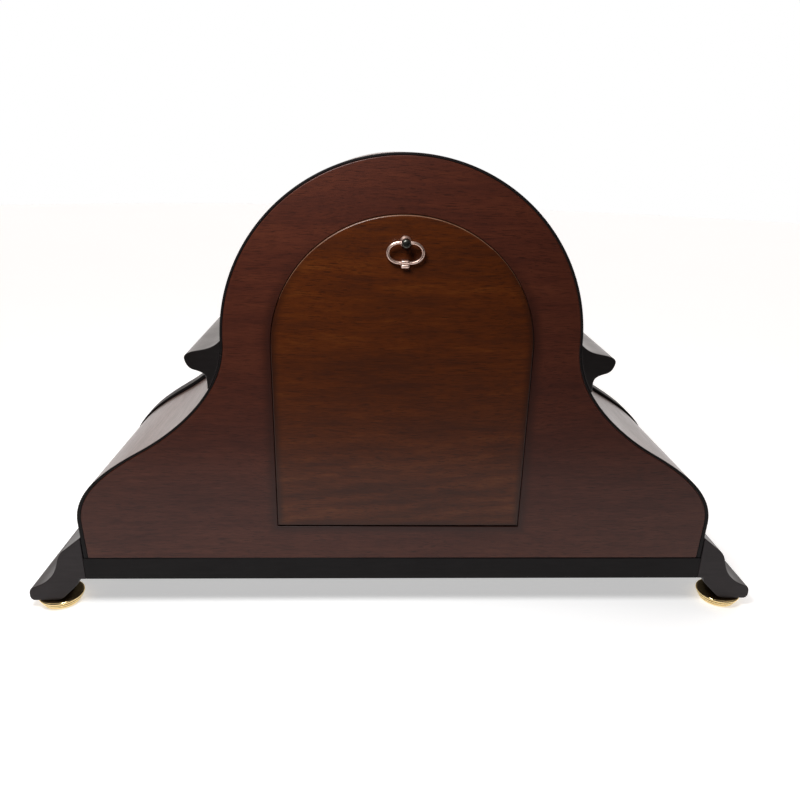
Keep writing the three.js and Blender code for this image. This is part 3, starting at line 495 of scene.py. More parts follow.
def door_gap_painted_shade(s, half_width, arch_z, bottom, inner, outer):
    """How much painted shade darkens the wood near an arched outline, for the shadow in the gap round the
    back door: none at inner mm beyond it, full at outer.

    It is strongest along the foot and the sides, and fades out over the lower part of the arch.
    """
    half_width, arch_z, bottom, inner, outer = (v * MM for v in (half_width, arch_z, bottom, inner, outer))
    x, z = s.axis(0), s.axis(2)
    rise = s.calc("MAXIMUM", s.calc("SUBTRACT", z, arch_z), 0.0)
    reach = s.node("VectorMath", 1, {"operation": "LENGTH"}, _0=s.node("CombineXYZ", X=x, Y=rise))
    beyond = s.calc("MAXIMUM", s.calc("SUBTRACT", reach, half_width), s.calc("SUBTRACT", bottom, z))
    fade_end, fade_start = arch_z + 75 * MM, arch_z + 20 * MM
    lower = s.node("MapRange", Value=z, From_Min=fade_end, From_Max=fade_start, To_Max=0.9)
    return s.node("MapRange", _set={"interpolation_type": "SMOOTHSTEP"}, Value=beyond,
                  From_Min=inner, From_Max=outer, To_Max=lower)


def cathedral(s, tone, bent, centre, top, amount):
    """Mixes flat arcs about a height into the tone, less and less towards the top."""
    squashed = s.node("Mapping", Vector=bent, Location=(0.006, 0, -centre * MM), Scale=(0.42, 1, 1))
    rings = s.node("TexWave", _set={"wave_type": "RINGS", "rings_direction": "Y"}, Vector=squashed,
                   Scale=30.0, Distortion=5.0, Detail=4.0, Detail_Scale=1.6)
    low_down = s.node("MapRange", Value=s.axis(2), From_Min=top * MM, From_Max=centre * MM, To_Max=amount)
    return s.mix(low_down, tone, rings)


def wood(name, dark, mid, light, gloss, coat, grain="X", figure=0.3, seed=0.0, shine=0.3, relief=0.08,
         edge=None, crown=None):
    """Stained, lacquered veneer: flecks and pores along the grain over a soft, drifting figure.

    edge is what door_gap_painted_shade takes, painted shade along the back door's gap, and crown is a
    cathedral figure's centre, top and amount.
    """
    s = Shader(name, Coat_Weight=coat, Coat_Roughness=0.2, Specular_IOR_Level=shine)
    along = {"X": (1, 9, 9), "Y": (9, 1, 9)}[grain]
    moved = s.node("Mapping", Vector=s.coords, Location=(seed, seed * 0.7, seed * 1.3))
    bent = s.mix(0.012, moved, s.noise(moved, 6, 2, 0.5))
    fine = s.node("Mapping", Vector=bent, Scale=along)
    flecks = s.noise(fine, 42, 5, 0.72)
    arcs = s.noise(s.mix(0.05, fine, s.noise(moved, 9, 2, 0.5)), 9, 3, 0.5)
    hairs = s.noise(s.node("Mapping", Vector=fine, Scale=(1, 3, 3)), 120, 2, 0.5)
    cloud = s.noise(moved, 4, 2, 0.5)
    tone = s.mix(0.25, s.mix(figure, flecks, arcs), cloud)
    if crown:
        tone = cathedral(s, tone, bent, *crown)
    colour = s.ramp(tone, (0.37, dark), (0.5, mid), (0.63, light))
    pores = s.ramp(hairs, (0.36, 0.85), (0.44, 0.0))
    colour = s.mix(pores, colour, tuple(c * 0.5 for c in dark))
    # painted shade: the wood darkens towards the back door's gap, where shadow falls
    if edge:
        colour = s.mix(door_gap_painted_shade(s, *edge), colour, tuple(c * 0.55 for c in dark))
    s.to("Base Color", colour)
    s.to("Roughness", s.ramp(tone, (0.3, gloss + 0.07), (0.7, gloss - 0.05)))
    s.bump(s.mix(0.4, flecks, hairs), relief, 0.6)
    return s.material


def lacquer(name, colour, roughness, coat, shine):
    """Opaque lacquer with a trace of grain, slight orange peel and handling marks."""
    s = Shader(name, Coat_Weight=coat, Coat_Roughness=0.14, Specular_IOR_Level=shine)
    peel = s.noise(s.coords, 620, 2, 0.6)
    grain = s.noise(s.stretched((6, 1.2, 40)), 10, 5, 0.6)
    marks = s.noise(s.coords, 26, 5, 0.65)
    s.to("Base Color", s.ramp(grain, (0.3, tuple(c * 0.7 for c in colour)), (0.7, colour)))
    s.to("Roughness", s.ramp(marks, (0.3, roughness - 0.07), (0.75, roughness + 0.12)))
    s.bump(s.mix(0.2, peel, grain), 0.05, 0.6)
    return s.material


def metal(name, colour, tarnish, roughness, brushed=None, spots=0.5):
    """Metal with blotches of patina, varied gloss, and brushing along one axis if any."""
    s = Shader(name, Metallic=1.0)
    blotch = s.noise(s.coords, 60, 5, 0.6)
    mask = s.ramp(blotch, (0.42, 0.0), (0.72, spots))
    s.to("Base Color", s.mix(mask, colour, tarnish))
    line = s.noise(s.stretched(brushed), 150, 3, 0.6) if brushed else s.noise(s.coords, 900, 3, 0.6)
    s.to("Roughness", s.ramp(s.mix(0.6, blotch, line), (0.25, roughness - 0.07), (0.75, roughness + 0.14)))
    s.bump(line, 0.01, 0.5)
    return s.material


def enamel(name, colour, foxing):
    """Baked dial enamel with faint ageing."""
    s = Shader(name, Coat_Weight=0.25, Coat_Roughness=0.2)
    age = s.noise(s.coords, 22, 6, 0.65)
    s.to("Base Color", s.ramp(age, (0.35, colour), (0.8, foxing)))
    s.to("Roughness", s.ramp(age, (0.3, 0.38), (0.8, 0.52)))
    s.bump(s.noise(s.coords, 700, 2, 0.5), 0.008, 0.4)
    return s.material


def paint(name, colour, roughness, lumps=0.0):
    """Plain paint; lumps gives a hammered finish that many mm deep."""
    s = Shader(name, Coat_Weight=0.15)
    tone = s.noise(s.coords, 130, 4, 0.6)
    s.to("Base Color", s.ramp(tone, (0.3, tuple(c * 0.75 for c in colour)), (0.7, colour)))
    s.to("Roughness", s.ramp(tone, (0.3, roughness - 0.06), (0.7, roughness + 0.08)))
    height = s.node("TexVoronoi", Vector=s.coords, Scale=380) if lumps else tone
    s.bump(height, lumps or 0.01, 0.6)
    return s.material


def clear_glass():
    """Thin window glass with a little dust, light enough to leave the dial bright."""
    s = Shader("clear_glass", Transmission_Weight=1.0, IOR=1.5, Base_Color=(0.97, 0.99, 0.98, 1), Alpha=0.2)
    dust = s.noise(s.coords, 45, 6, 0.7)
    s.to("Roughness", s.ramp(dust, (0.5, 0.0), (0.9, 0.03)))
    return s.material


DOOR_SHAPE = (DOOR_RADIUS, DOOR_ARCH_Z, DOOR_BOTTOM_Z)
# edge paints shade into the board and the door along the back door's gap
BOARD = wood("cherry_board", (0.036, 0.0072, 0.0034), (0.054, 0.0120, 0.0056), (0.074, 0.0185, 0.0085),
             figure=0.4, gloss=0.42, coat=0.1, shine=0.22,
             edge=(*DOOR_SHAPE, 9, 0))
DOOR = wood("door_ply", (0.036, 0.0068, 0.0005), (0.064, 0.0128, 0.0010), (0.104, 0.0275, 0.0042),
            figure=0.45, gloss=0.38, coat=0.1, seed=0.37, shine=0.22, relief=0.12,
            edge=(*DOOR_SHAPE, -6, 0), crown=(52, 150, 0.13))
# painted highlight: a much lighter wood for the door's upward-facing edge, standing in for the light from
# above that catches it
DOOR_EDGE_HIGHLIGHT = wood("door_ply_edge_highlight", (0.10, 0.045, 0.025), (0.15, 0.070, 0.040), (0.20, 0.10, 0.06),
                 gloss=0.4, coat=0.2, seed=0.6)
SHELL = wood("shell_veneer", (0.065, 0.030, 0.022), (0.092, 0.043, 0.032), (0.120, 0.058, 0.043),
             grain="Y", gloss=0.30, coat=0.25, seed=0.21)
PANEL = wood("cherry_panel", (0.028, 0.0080, 0.0045), (0.060, 0.017, 0.0085), (0.100, 0.032, 0.016),
             gloss=0.26, coat=0.6, seed=0.83)
RUNNER = lacquer("ebonised_runner", (0.020, 0.0145, 0.0155), 0.4, 0.1, 0.16)
EBONY = lacquer("ebonised_moulding", (0.010, 0.0080, 0.0080), 0.32, 0.2, 0.25)
PLINTH = lacquer("black_plinth", (0.0085, 0.0070, 0.0072), 0.45, 0.0, 0.1)
BRASS = metal("polished_brass", (0.88, 0.69, 0.36), (0.60, 0.42, 0.17), 0.13)
ANTIQUE = metal("antique_brass", (0.78, 0.57, 0.49), (0.40, 0.26, 0.21), 0.34, spots=0.45)
DARK_BRONZE = metal("dark_bronze", (0.085, 0.085, 0.075), (0.03, 0.035, 0.028), 0.3, spots=0.7)
PLATE = metal("brushed_brass_plate", (0.80, 0.60, 0.30), (0.62, 0.44, 0.2), 0.24, (1, 4, 60))
WHEEL = metal("wheel_brass", (0.84, 0.62, 0.29), (0.65, 0.45, 0.2), 0.22)
STEEL = metal("bright_steel", (0.60, 0.61, 0.63), (0.42, 0.41, 0.40), 0.24, (1, 8, 8))
BLUED = metal("blued_screw", (0.05, 0.08, 0.24), (0.03, 0.04, 0.12), 0.2)
RUBY = paint("ruby_jewel", (0.55, 0.02, 0.06), 0.12)
LEATHER = paint("hammer_leather", (0.36, 0.22, 0.12), 0.75, 0.05)
IRON = paint("hammered_iron", (0.11, 0.12, 0.13), 0.42, 0.12)
DIAL = enamel("dial_enamel", (0.80, 0.74, 0.58), (0.66, 0.56, 0.38))
INK = paint("dial_ink", (0.012, 0.012, 0.014), 0.35)
HANDS = paint("hand_black", (0.010, 0.010, 0.012), 0.22)
GLASS = clear_glass()


# ------------------------------------------------------------ case
def shell_strip(outer, inner, rim):
    """A stretch of bent shell: full thickness in front, and a thin lip round the back board."""
    rebate = -BOARD_THICK - GAP
    body = prism(outer + inner[::-1], PANEL_REAR_Y + GAP, rebate, bevel=0.25)
    edge = prism(outer + rim[::-1], rebate - 1, 0, bevel=0.5, steps=3)
    return [(body, SHELL), (edge, SHELL)]


def arch_span(half):
    """A half outline from the shell's joint over the top to the other joint."""
    side = between(half, SHELL_JOINT_Z, DRUM_Z) + [p for p in half if p[1] > DRUM_Z]
    return side + [(-x, z) for x, z in reversed(side) if x > TINY]


def lip(z):
    """Width of the shell's edge round the back board; it grows a little towards the foot."""
    return SHELL_LIP + 1.4 * min(max((125 - z) / 65, 0), 1)


def build_shell():
    """Veneered shells, with black rear edges round the back board."""
    halves = [OUTLINE, inset(OUTLINE, SHELL_THICK), inset(OUTLINE, lip)]
    shells = [("arch_shell", shell_strip(*map(arch_span, halves)))]
    for side in ("right", "left"):
        strip = shell_strip(*(between(half, CASE_BOTTOM_Z, SHELL_JOINT_Z - GAP) for half in halves))
        shells.append((f"shoulder_shell_{side}", [(for_side(mesh, side), look) for mesh, look in strip]))
    for node, parts in shells:
        shell = stand_in(node, "veneered", "case", parts)
        paint_faces(shell, PLINTH, lambda normal: normal.y > 0.5)


def ear_outline():
    """Section of the ear: concave top, round nose, and a neck that lands on the shoulder."""
    top = DRUM_Z + 1.2
    x0 = DRUM_RADIUS + HAIRLINE
    points = [(x0, top)]
    points += bezier(points[-1], (x0 + 6, top - 6.2), (x0 + 12, top - 5.7), (x0 + 18.5, top - 7.4), 14)
    points += bezier(points[-1], (x0 + 22.6, top - 8.6), (x0 + 24, top - 10.2), (x0 + 23.6, top - 12.4), 8)
    points += bezier(points[-1], (x0 + 23, top - 15.6), (x0 + 21.6, top - 18.4), (x0 + 18.5, top - 19.5), 8)
    points += bezier(points[-1], (x0 + 11.5, top - 21.5), (x0 + 10, top - 22.8), (x0 + 10, top - 28), 12)
    points.append((x0 + 10, EAR_BOTTOM_Z))
    against = between(inset(OUTLINE, -HAIRLINE), EAR_BOTTOM_Z, DRUM_Z)
    return points + [(min(x, x0 + 9.9), z) for x, z in against[:-1]]


def runner_outline():
    """Section of the runner: flat top, hollow sweep down to a blunt toe, flat underside."""
    inner = SHOULDER_X + SNUG
    points = [(inner, PLINTH_BOTTOM_Z), (230.4, PLINTH_BOTTOM_Z)]
    points += bezier(points[-1], (230.6, 23.6), (231.4, 22), (233, 20.4), 5)
    points += [(241.8, 11.4)]
    points += bezier(points[-1], (243.8, 9.2), (246.4, 8), (250, 8), 7)
    points += [(264.6, 8)]
    for *handles, count in (
        ((266.6, 8.6), (267.4, 10), (267.4, 12.5), 6),
        ((267.4, 16), (266.4, 18.2), (264, 19), 6),
        ((252, 23), (247, 30), (244.4, 40), 16),
        ((243.4, 44.4), (241, 48), (238, 50), 8),
    ):
        points += bezier(points[-1], *handles, count)
    return points + [(inner, 60)]


def build_mouldings():
    """Ears, runners and plinth, ebonised."""
    for side in ("right", "left"):
        for node, outline, depth, finish in (
            (f"ear_moulding_{side}", ear_outline(), PANEL_FRONT_Y, EBONY),
            (f"side_runner_{side}", runner_outline(), low("side_runner_right", "y"), RUNNER),
        ):
            mesh = for_side(prism(outline, depth, 0, bevel=0.6, steps=3), side)
            stand_in(node, "ebonised", "case", [(mesh, finish)])
    x = high("base_plinth", "x")
    mesh = block((-x, x), (low("base_plinth", "y"), 0), (PLINTH_BOTTOM_Z, CASE_BOTTOM_Z - GAP), 0.7, 3)
    stand_in("base_plinth", "black", "case", [(mesh, PLINTH)])


def build_foot_buttons():
    """Turned brass: a flat foot, a bead, a deep groove and a wide ring under the runner."""
    profile = rounded(
        [(0, 0), (11.4, 0), (13, 0.8), (13.2, 2.2), (12.6, 2.7), (14, 3.0), (14.8, 3.8), (14.7, 4.7),
         (13.9, 5.1), (15.4, 5.4), (16, 6.2), (15.8, 7.2), (14.6, 7.7), (0, 7.7)],
        0.45, 3, closed=False,
    )
    for end in ("rear", "front"):
        for side in ("right", "left"):
            node = f"foot_button_{end}_{side}"
            mesh = lathe(profile, (middle(node, "x"), middle(node, "y")), "Z", 72)
            stand_in(node, "turned", "case", [(mesh, BRASS)])


def door_outline(extra):
    """The door's arch, or the opening that is so much wider all round."""
    r = DOOR_RADIUS + extra
    bottom = DOOR_BOTTOM_Z - extra
    return [(-r, bottom), (r, bottom)] + arc(r, 0, 180, 96, (0, DOOR_ARCH_Z))


def build_boards():
    """Back board with its opening, and the front panel standing proud of the shoulders."""
    board = inset(OUTLINE, lambda z: lip(z) + SNUG)
    board[0] = (board[0][0], CASE_BOTTOM_Z)
    mesh = prism(whole(board), -BOARD_THICK, 0, [door_outline(GAP)], bevel=0.5, steps=3)
    stand_in("back_board", "veneered", "case", [(mesh, BOARD)])

    ledge = EAR_BOTTOM_Z - GAP
    swell_z, at_foot, swell = 84, 0.6, 4.0

    def proud(z):
        """How far the panel stands out past the shoulders; it grows from swell_z up to the ears."""
        return -(at_foot + swell * (max(z, swell_z) - swell_z) / (ledge - swell_z))

    flank = between(OUTLINE, CASE_BOTTOM_Z, ledge)
    lower = inset(flank, proud)
    lower[-1] = (lower[-1][0], ledge)
    upper = [p for p in OUTLINE if p[1] > ledge]
    opening = circle(76, (0, DRUM_Z), 96)
    mesh = prism(whole(lower + flank[-1:] + upper), PANEL_FRONT_Y, PANEL_REAR_Y, [opening], 1.2, 3)
    panel = stand_in("front_panel", "veneered", "case", [(mesh, PANEL)])
    paint_faces(panel, PLINTH, lambda normal: normal.y > -0.5)


# ------------------------------------------------------------ back door and its furniture
def build_door():
    """Veneered door, its lower rear edge rounded about the pivot so that it clears the board."""
    pivot = PIVOTS["back_door"]
    slab = prism(door_outline(0), DOOR_PROUD - BOARD_THICK, DOOR_PROUD, bevel=0.75, steps=4)
    bm = bmesh.new()
    bm.from_mesh(slab)
    bpy.data.meshes.remove(slab)
    clear_radius = 4.2
    limit = place(0, 0, pivot.z).z
    for v in bm.verts:
        y = (v.co.y - BACK_Y) / MM
        z = v.co.z / MM
        reach = math.hypot(y - pivot.y, z - pivot.z)
        if v.co.z < limit and y > pivot.y and reach > clear_radius:
            y = pivot.y + (y - pivot.y) * clear_radius / reach
            z = max(pivot.z + (z - pivot.z) * clear_radius / reach, DOOR_BOTTOM_Z)
            v.co.y, v.co.z = BACK_Y + y * MM, z * MM
    door = stand_in("back_door", "veneered", "back_door", [(close(bm, "door"), DOOR)])
    # painted highlight: the door's upward-facing edge faces get the lighter wood
    paint_faces(door, DOOR_EDGE_HIGHLIGHT, lambda normal: abs(normal.y) < 0.93 and normal.z > 0.35)
    for side in ("right", "left"):
        node = f"door_pivot_pin_{side}"
        tip = [(0, 0), (0.9, 0), (1.2, 0.4), (1.2, 22.6), (0.9, 23), (0, 23)]
        profile = [(r, low(node, "x") + h) for r, h in tip]
        mesh = lathe(profile, (pivot.y, pivot.z), "X", 24)
        stand_in(node, "turned", "case", [(mesh, DARK_BRONZE)])


def build_pull():
    """Turned post with a cast ring that hangs from it, leaning on its ferrule."""
    eye = PIVOTS["pull_ring"]
    z = eye.z
    seat = DOOR_PROUD + HAIRLINE
    tip = high("door_pull_post", "y")
    neck = rounded(
        [(0, -6), (1.5, -6), (1.5, seat), (3.7, seat), (3.7, 2.2), (2.9, 3.2), (2.4, 3.8),
         (2.4, eye.y + 1.9), (0, eye.y + 1.9)],
        0.6, 4, closed=False,
    )
    knob = rounded(
        [(0, eye.y + 1.6), (2.4, eye.y + 1.6), (2.9, eye.y + 2.6), (2.9, tip - 1.8), (2.2, tip - 0.4),
         (0, tip)],
        0.9, 5, closed=False,
    )
    parts = [(lathe(neck, (0, z), "Y", 48), ANTIQUE), (lathe(knob, (0, z), "Y", 48), DARK_BRONZE)]
    stand_in("door_pull_post", "turned", "back_door", parts)

    half_width, drop, flat, bend = 11, 12.8, 3.4, 0.56
    ferrule_depth, ferrule_drop = 1.6, drop + 3.4
    lean = math.degrees(math.asin((eye.y - DOOR_PROUD - ferrule_depth - GAP) / ferrule_drop))
    shoulder = flat + (half_width - flat) * bend
    side = bezier((flat, 0), (shoulder, 0), (half_width, -drop / 2 * (1 - bend)), (half_width, -drop / 2), 14)
    side += bezier(side[-1], (half_width, -drop / 2 * (1 + bend)), (shoulder, -drop), (flat, -drop), 14)
    loop = [(flat, 0)] + side + [(0, -drop)] + [(-x, h) for x, h in reversed(side)] + [(-flat, 0), (0, 0)]
    wire = tube([(x, eye.y, z + h) for x, h in loop], 1.0, closed=True, sides=6)
    ys = (eye.y - ferrule_depth, eye.y + ferrule_depth)
    zs = (z - ferrule_drop, z - drop + 1.8)
    half = (zs[1] - zs[0]) / 2
    beads = [block((-2.8, 2.8), ys, (zs[0] + n * half, zs[0] + (n + 1) * half), 1.25, 5) for n in (0, 1)]
    core = block((-2.6, 2.6), (ys[0] + 0.5, ys[1] - 0.5), (zs[0] + 0.5, zs[1] - 0.5), 0.3)
    parts = [(turned(m, eye, -lean, "X"), ANTIQUE) for m in (wire, core, *beads)]
    stand_in("door_pull_ring", "cast", "pull_ring", parts)


def screw(at, y, facing, radius, material, turn):
    """A domed, slotted screw head on a plane that faces -y (facing = -1) or +y."""
    height = radius * 0.55
    slot = radius * 0.16
    parts = [(spindle(at, radius, (y, y + facing * height * 0.45), segments=28), material)]
    edge = math.degrees(math.asin(slot / radius))
    lo, hi = sorted((y + facing * height * 0.4, y + facing * height))
    a = math.radians(turn)
    for start in (edge, 180 + edge):
        half = [(at[0] + x * math.cos(a) - z * math.sin(a), at[1] + x * math.sin(a) + z * math.cos(a))
                for x, z in arc(radius, start, start + 180 - 2 * edge, 16)]
        parts.append((prism(half, lo, hi, bevel=radius * 0.12, steps=1), material))
    return parts


def build_catch():
    """Spring catch inside the board: a folded steel leaf on a screwed plate."""
    node = "door_catch"
    y1 = high(node, "y")
    z0, z1 = extent(node, "z")
    plate = block((-14, 14), (y1 - 1.6, y1), (z0 + 11, z1), 0.3)
    leaf = block((-8, 8), (y1 - 1.2, y1 - 0.1), (z0, z0 + 12), 0.3)
    spring = tube([(-8, y1 - 3, z0 + 13), (8, y1 - 3, z0 + 13)], 1.6)
    parts = [(plate, STEEL), (leaf, STEEL), (spring, STEEL)]
    for x in (-9, 9):
        parts += screw((x, z1 - 6), y1 - 1.6, -1, 2.6, BRASS, 40)
    stand_in(node, "spring", "case", parts)


# ------------------------------------------------------------ dial, bezel and hands
WINDING = [axis_of(f"{train}_winding_arbor") for train in ("time", "chime", "strike")]
LEVER_LENGTH = 16  # of the chime lever, whose pin stands in the dial's slot
# For each letter its width, its bars (top, bottom, thickness) and its serifs (centre, height).
LETTERS = {
    "I": (0.27, [(0.135, 0.135, 0.105)], [(0.135, 1), (0.135, 0)]),
    "V": (0.66, [(0.13, 0.33, 0.115), (0.55, 0.35, 0.04)], [(0.13, 1), (0.55, 1)]),
    "X": (0.66, [(0.13, 0.53, 0.115), (0.54, 0.12, 0.04)], [(0.13, 1), (0.54, 1), (0.12, 0), (0.53, 0)]),
}
SERIF_HALF, SERIF_HIGH = 0.115, 0.045
NUMERALS = ["XII", "I", "II", "III", "IIII", "V", "VI", "VII", "VIII", "IX", "X", "XI"]


def numeral_strokes(text):
    """Roman numeral as closed outlines in a frame of height 1, centred on its width."""
    strokes = []
    x = 0.0
    for letter in text:
        width, bars, serifs = LETTERS[letter]
        for top, bottom, thick in bars:
            strokes.append([(x + top - thick / 2, 1), (x + bottom - thick / 2, 0),
                            (x + bottom + thick / 2, 0), (x + top + thick / 2, 1)])
        for centre, height in serifs:
            z = height - SERIF_HIGH if height else 0
            left, right = x + centre - SERIF_HALF, x + centre + SERIF_HALF
            strokes.append([(left, z), (right, z), (right, z + SERIF_HIGH), (left, z + SERIF_HIGH)])
        x += width
    return [[(px - x / 2, pz) for px, pz in s] for s in strokes]


def on_dial(points, degrees):
    """Points of (across, radius) at twelve o'clock, turned clockwise about the dial's centre."""
    a = math.radians(degrees)
    return [(r * math.sin(a) + w * math.cos(a), DRUM_Z + r * math.cos(a) - w * math.sin(a))
            for w, r in points]


def build_dial():
    """Enamelled disc, black chapter numerals, minute track, brass ring and winding-hole bushes."""
    centre = (0, DRUM_Z)
    back, face = high("dial_plate", "y"), low("dial_plate", "y")
    lever_x = axis_of("chime_selector_lever")[0] + LEVER_LENGTH
    slot = rectangle((lever_x, DRUM_Z), (-2.4, 2.4), (-6, 6), 2.2, 5)
    holes = [circle(4.8, centre), slot] + [circle(4.4, at) for at in WINDING]
    disc = prism(circle(high("dial_plate", "x"), centre, 128), face, back, holes, 0.2, 1)
    stand_in("dial_plate", "enamelled", "case", [(disc, DIAL)])

    def inked(outline, holes=()):
        return prism(outline, face - 0.06, face + 0.02, holes, 0.01, 0), INK

    marks = []
    for hour, text in enumerate(NUMERALS):
        for stroke in numeral_strokes(text):
            tall = [(11.5 * px, 53.5 + 13 * pz) for px, pz in stroke]
            marks.append(inked(on_dial(tall, 30 * hour)))
    for radius in (70.2, 74.6):
        marks.append(inked(circle(radius, centre, 128), [circle(radius - 0.35, centre, 128)]))
    for minute in range(60):
        half = 0.75 if minute % 5 == 0 else 0.28
        marks.append(inked(on_dial([(-half, 70), (half, 70), (half, 74.5), (-half, 74.5)], 6 * minute)))
    piece("dial_numerals", "case", marks)

    ring = [(48.4, face - 0.1), (49.6, face - 0.1), (49.6, face - 0.5), (49, face - 0.75), (48.4, face - 0.5)]
    parts = [(lathe(ring, centre, "Y", 128), BRASS)]
    for at in WINDING:
        bush = rounded([(3.75, face + 0.3), (3.75, face - 0.5), (4.3, face - 0.8), (5.4, face - 0.55),
                        (5.7, face - 0.05), (4.3, face - 0.05), (4.3, face + 0.3)], 0.2, 2)
        parts.append((lathe(bush, at, "Y", 40), BRASS))
    piece("dial_brass_fittings", "case", parts)


def build_bezel():
    """Turned brass bezel with beads and coves, its sight ring, hinge knuckle and finger tab."""
    back = PANEL_FRONT_Y - 0.5
    front = BEZEL_FRONT_Y
    r = 93
    profile = [(86, back), (r - 1, back), (r, back - 1), (r, back - 2.6), (r - 0.9, back - 3.2)]
    profile += bezier(profile[-1], (r + 0.2, back - 4.6), (r - 0.4, back - 7), (r - 2.2, back - 7.6), 10)
    profile += bezier((r - 3, back - 7.6), (r - 3.6, back - 9.6), (r - 6, back - 10.6),
                      (r - 8.2, back - 10.8), 10)
    profile += [(84.6, back - 11.2)]
    profile += bezier((84.2, back - 11.4), (84.4, front + 0.3), (82.6, front), (81.6, front), 8)
    profile += bezier(profile[-1], (80.4, front), (79.4, front + 0.6), (79, front + 1.8), 8)
    profile += [(78.8, front + 3.4), (81.9, front + 3.4), (81.9, back - 2), (86, back - 2)]
    x, y = PIVOTS["bezel"].x, PIVOTS["bezel"].y
    arm = block((x, -r + 3.5), (y - 1.4, y + 1.6), (DRUM_Z - 5, DRUM_Z + 5), 0.4)
    knuckle = collar((x, y), (1.5, 2.6), (DRUM_Z - 5, DRUM_Z + 5), 0.3, 2, "Z")
    tab = block((r - 2.5, r + 4), (y - 1.2, y + 1.2), (DRUM_Z - 4, DRUM_Z + 4), 0.9, 4)
    parts = [(mesh, BRASS) for mesh in (lathe(profile, (0, DRUM_Z), "Y", 160), arm, knuckle, tab)]
    stand_in("bezel_ring", "turned", "bezel", parts)

    rim, seat, thick, rise = 81.4, front + 3.4 + GAP, 1.8, 3.0
    dome = [(rim * math.cos(math.radians(a)), seat + 0.4 - rise * math.sin(math.radians(a)))
            for a in range(0, 90, 6)]
    outer = [(rim, seat + thick - 0.3)] + dome + [(0, seat + 0.4 - rise)]
    inner = [(0, seat + thick + 0.3 - rise)] + [(rr - 0.6, h + thick - 0.1) for rr, h in reversed(dome)]
    mesh = lathe(outer[::-1] + inner[::-1], (0, DRUM_Z), "Y", 128)
    stand_in("bezel_glass", "domed", "bezel", [(mesh, GLASS)])

    face = PANEL_FRONT_Y - GAP
    parts = [(block((x - 14, x - 3.2), (face - 1.1, face), (DRUM_Z - 14, DRUM_Z + 14), 0.3), BRASS)]
    for side in (-1, 1):
        zs = sorted((DRUM_Z + side * 5.3, DRUM_Z + side * 14))
        parts.append((block((x - 4, x - 1.4), (y - 1, y + 2.2), zs, 0.3), BRASS))
        parts.append((collar((x, y), (1.5, 2.6), zs, 0.3, 2, "Z"), BRASS))
        parts += screw((x - 9, DRUM_Z + side * 9), face - 1.1, -1, 2.1, BRASS, 60)
    stand_in("bezel_hinge", "folded", "case", parts)
    pin = [(0, DRUM_Z - 15.6), (1.5, DRUM_Z - 15.4), (1.8, DRUM_Z - 14.8), (1.2, DRUM_Z - 14.2),
           (1.2, DRUM_Z + 14.2), (1.8, DRUM_Z + 14.8), (1.5, DRUM_Z + 15.4), (0, DRUM_Z + 15.6)]
    stand_in("bezel_hinge_pin", "turned", "case", [(lathe(pin, (x, y), "Z", 24), BRASS)])


def hand_outline(length, boss, spade):
    """Spade hand pointing up from the centre: counterweight tail, tapered stem, leaf and tip."""
    neck = length * 0.6
    right = [(boss * 0.34, -boss * 2.4), (boss * 0.3, -boss), (boss * 0.62, 0), (boss * 0.3, boss)]
    right += [(boss * 0.16, neck - 3), (spade * 0.42, neck - 1.4)]
    right += bezier((boss * 0.16, neck), (spade * 0.9, neck - 0.4), (spade * 1.25, neck + spade * 0.6),
                    (spade, neck + spade * 1.2), 8)
    right += bezier((spade, neck + spade * 1.2), (spade * 0.6, neck + spade * 1.9),
                    (0.8, neck + spade * 1.9), (0.45, length - 4), 8)
    right += [(0.3, length)]
    return right + [(-x, z) for x, z in reversed(right)]


def build_hands():
    """Spade hands and their knurled nut, at ten past ten."""
    settings = (
        ("hour_hand", "hour_pipe", 44, 6.6, 3.9, 5.0, (-149.5, -148.7), 305),
        ("minute_hand", "minute_arbor", 66, 4.6, 1.5, 3.9, (-150.9, -150.3), 60),
    )
    centre = (0, DRUM_Z)
    for node, body, length, boss, bore, spade, ys, clock_angle in settings:
        outline = [(x, DRUM_Z + z) for x, z in hand_outline(length, boss, spade)]
        leaf = prism(outline, *ys, bevel=0.15, steps=2)
        hub = collar(centre, (bore + SNUG, boss), (ys[0] - 0.15, ys[1]), 0.2, 2, segments=48)
        parts = [(turned(m, (0, 0, DRUM_Z), clock_angle, "Y"), HANDS) for m in (leaf, hub)]
        stand_in(node, "spade", body, parts)
    nut = rounded([(1.7, -151.2), (3, -151.2), (3, -152.2), (2.3, -152.8), (1.7, -152.8)], 0.25, 3)
    stand_in("hand_nut", "knurled", "minute_arbor", [(lathe(nut, centre, "Y", 40), BRASS)])


# ------------------------------------------------------------ wheels
WHEEL_TOOTH = [(-1.1, -0.27), (0, -0.19), (0.55, -0.1), (0.8, 0), (0.55, 0.1), (0, 0.19), (-1.1, 0.27)]
PINION_LEAF = [(-1.2, -0.2), (0, -0.15), (0.6, -0.08), (0.75, 0), (0.6, 0.08), (0, 0.15), (-1.2, 0.2)]


def toothed(teeth, module, phase, at, corners):
    """Outline of a wheel: the corners are (height in modules, share of the pitch) of one tooth."""
    pitch = module * teeth / 2
    points = []
    for k in range(teeth):
        for height, share in corners:
            a = phase + (k + share) * TAU / teeth
            r = pitch + height * module
            points.append((at[0] + r * math.cos(a), at[1] + r * math.sin(a)))
    return points


def crossings(at, hub, rim, arms, arm_width=1.6):
    """The openings between a wheel's arms."""
    out = []
    for k in range(arms):
        centre = 0.3 + (k + 0.5) * TAU / arms
        outer, inner = (TAU / arms / 2 - arm_width / 2 / radius for radius in (rim, hub))
        loop = arc(rim, math.degrees(centre - outer), math.degrees(centre + outer), 10, at)
        loop += arc(hub, math.degrees(centre + inner), math.degrees(centre - inner), 4, at)
        out.append(rounded(loop, 0.8, 3))
    return out


def wheel(teeth, module, phase, at, ys, hub=4.2):
    """A brass wheel with five arms."""
    rim = module * (teeth / 2 - 1.1) - 1.7
    return prism(toothed(teeth, module, phase, at, WHEEL_TOOTH), *ys, crossings(at, hub, rim, 5), 0.12, 1)


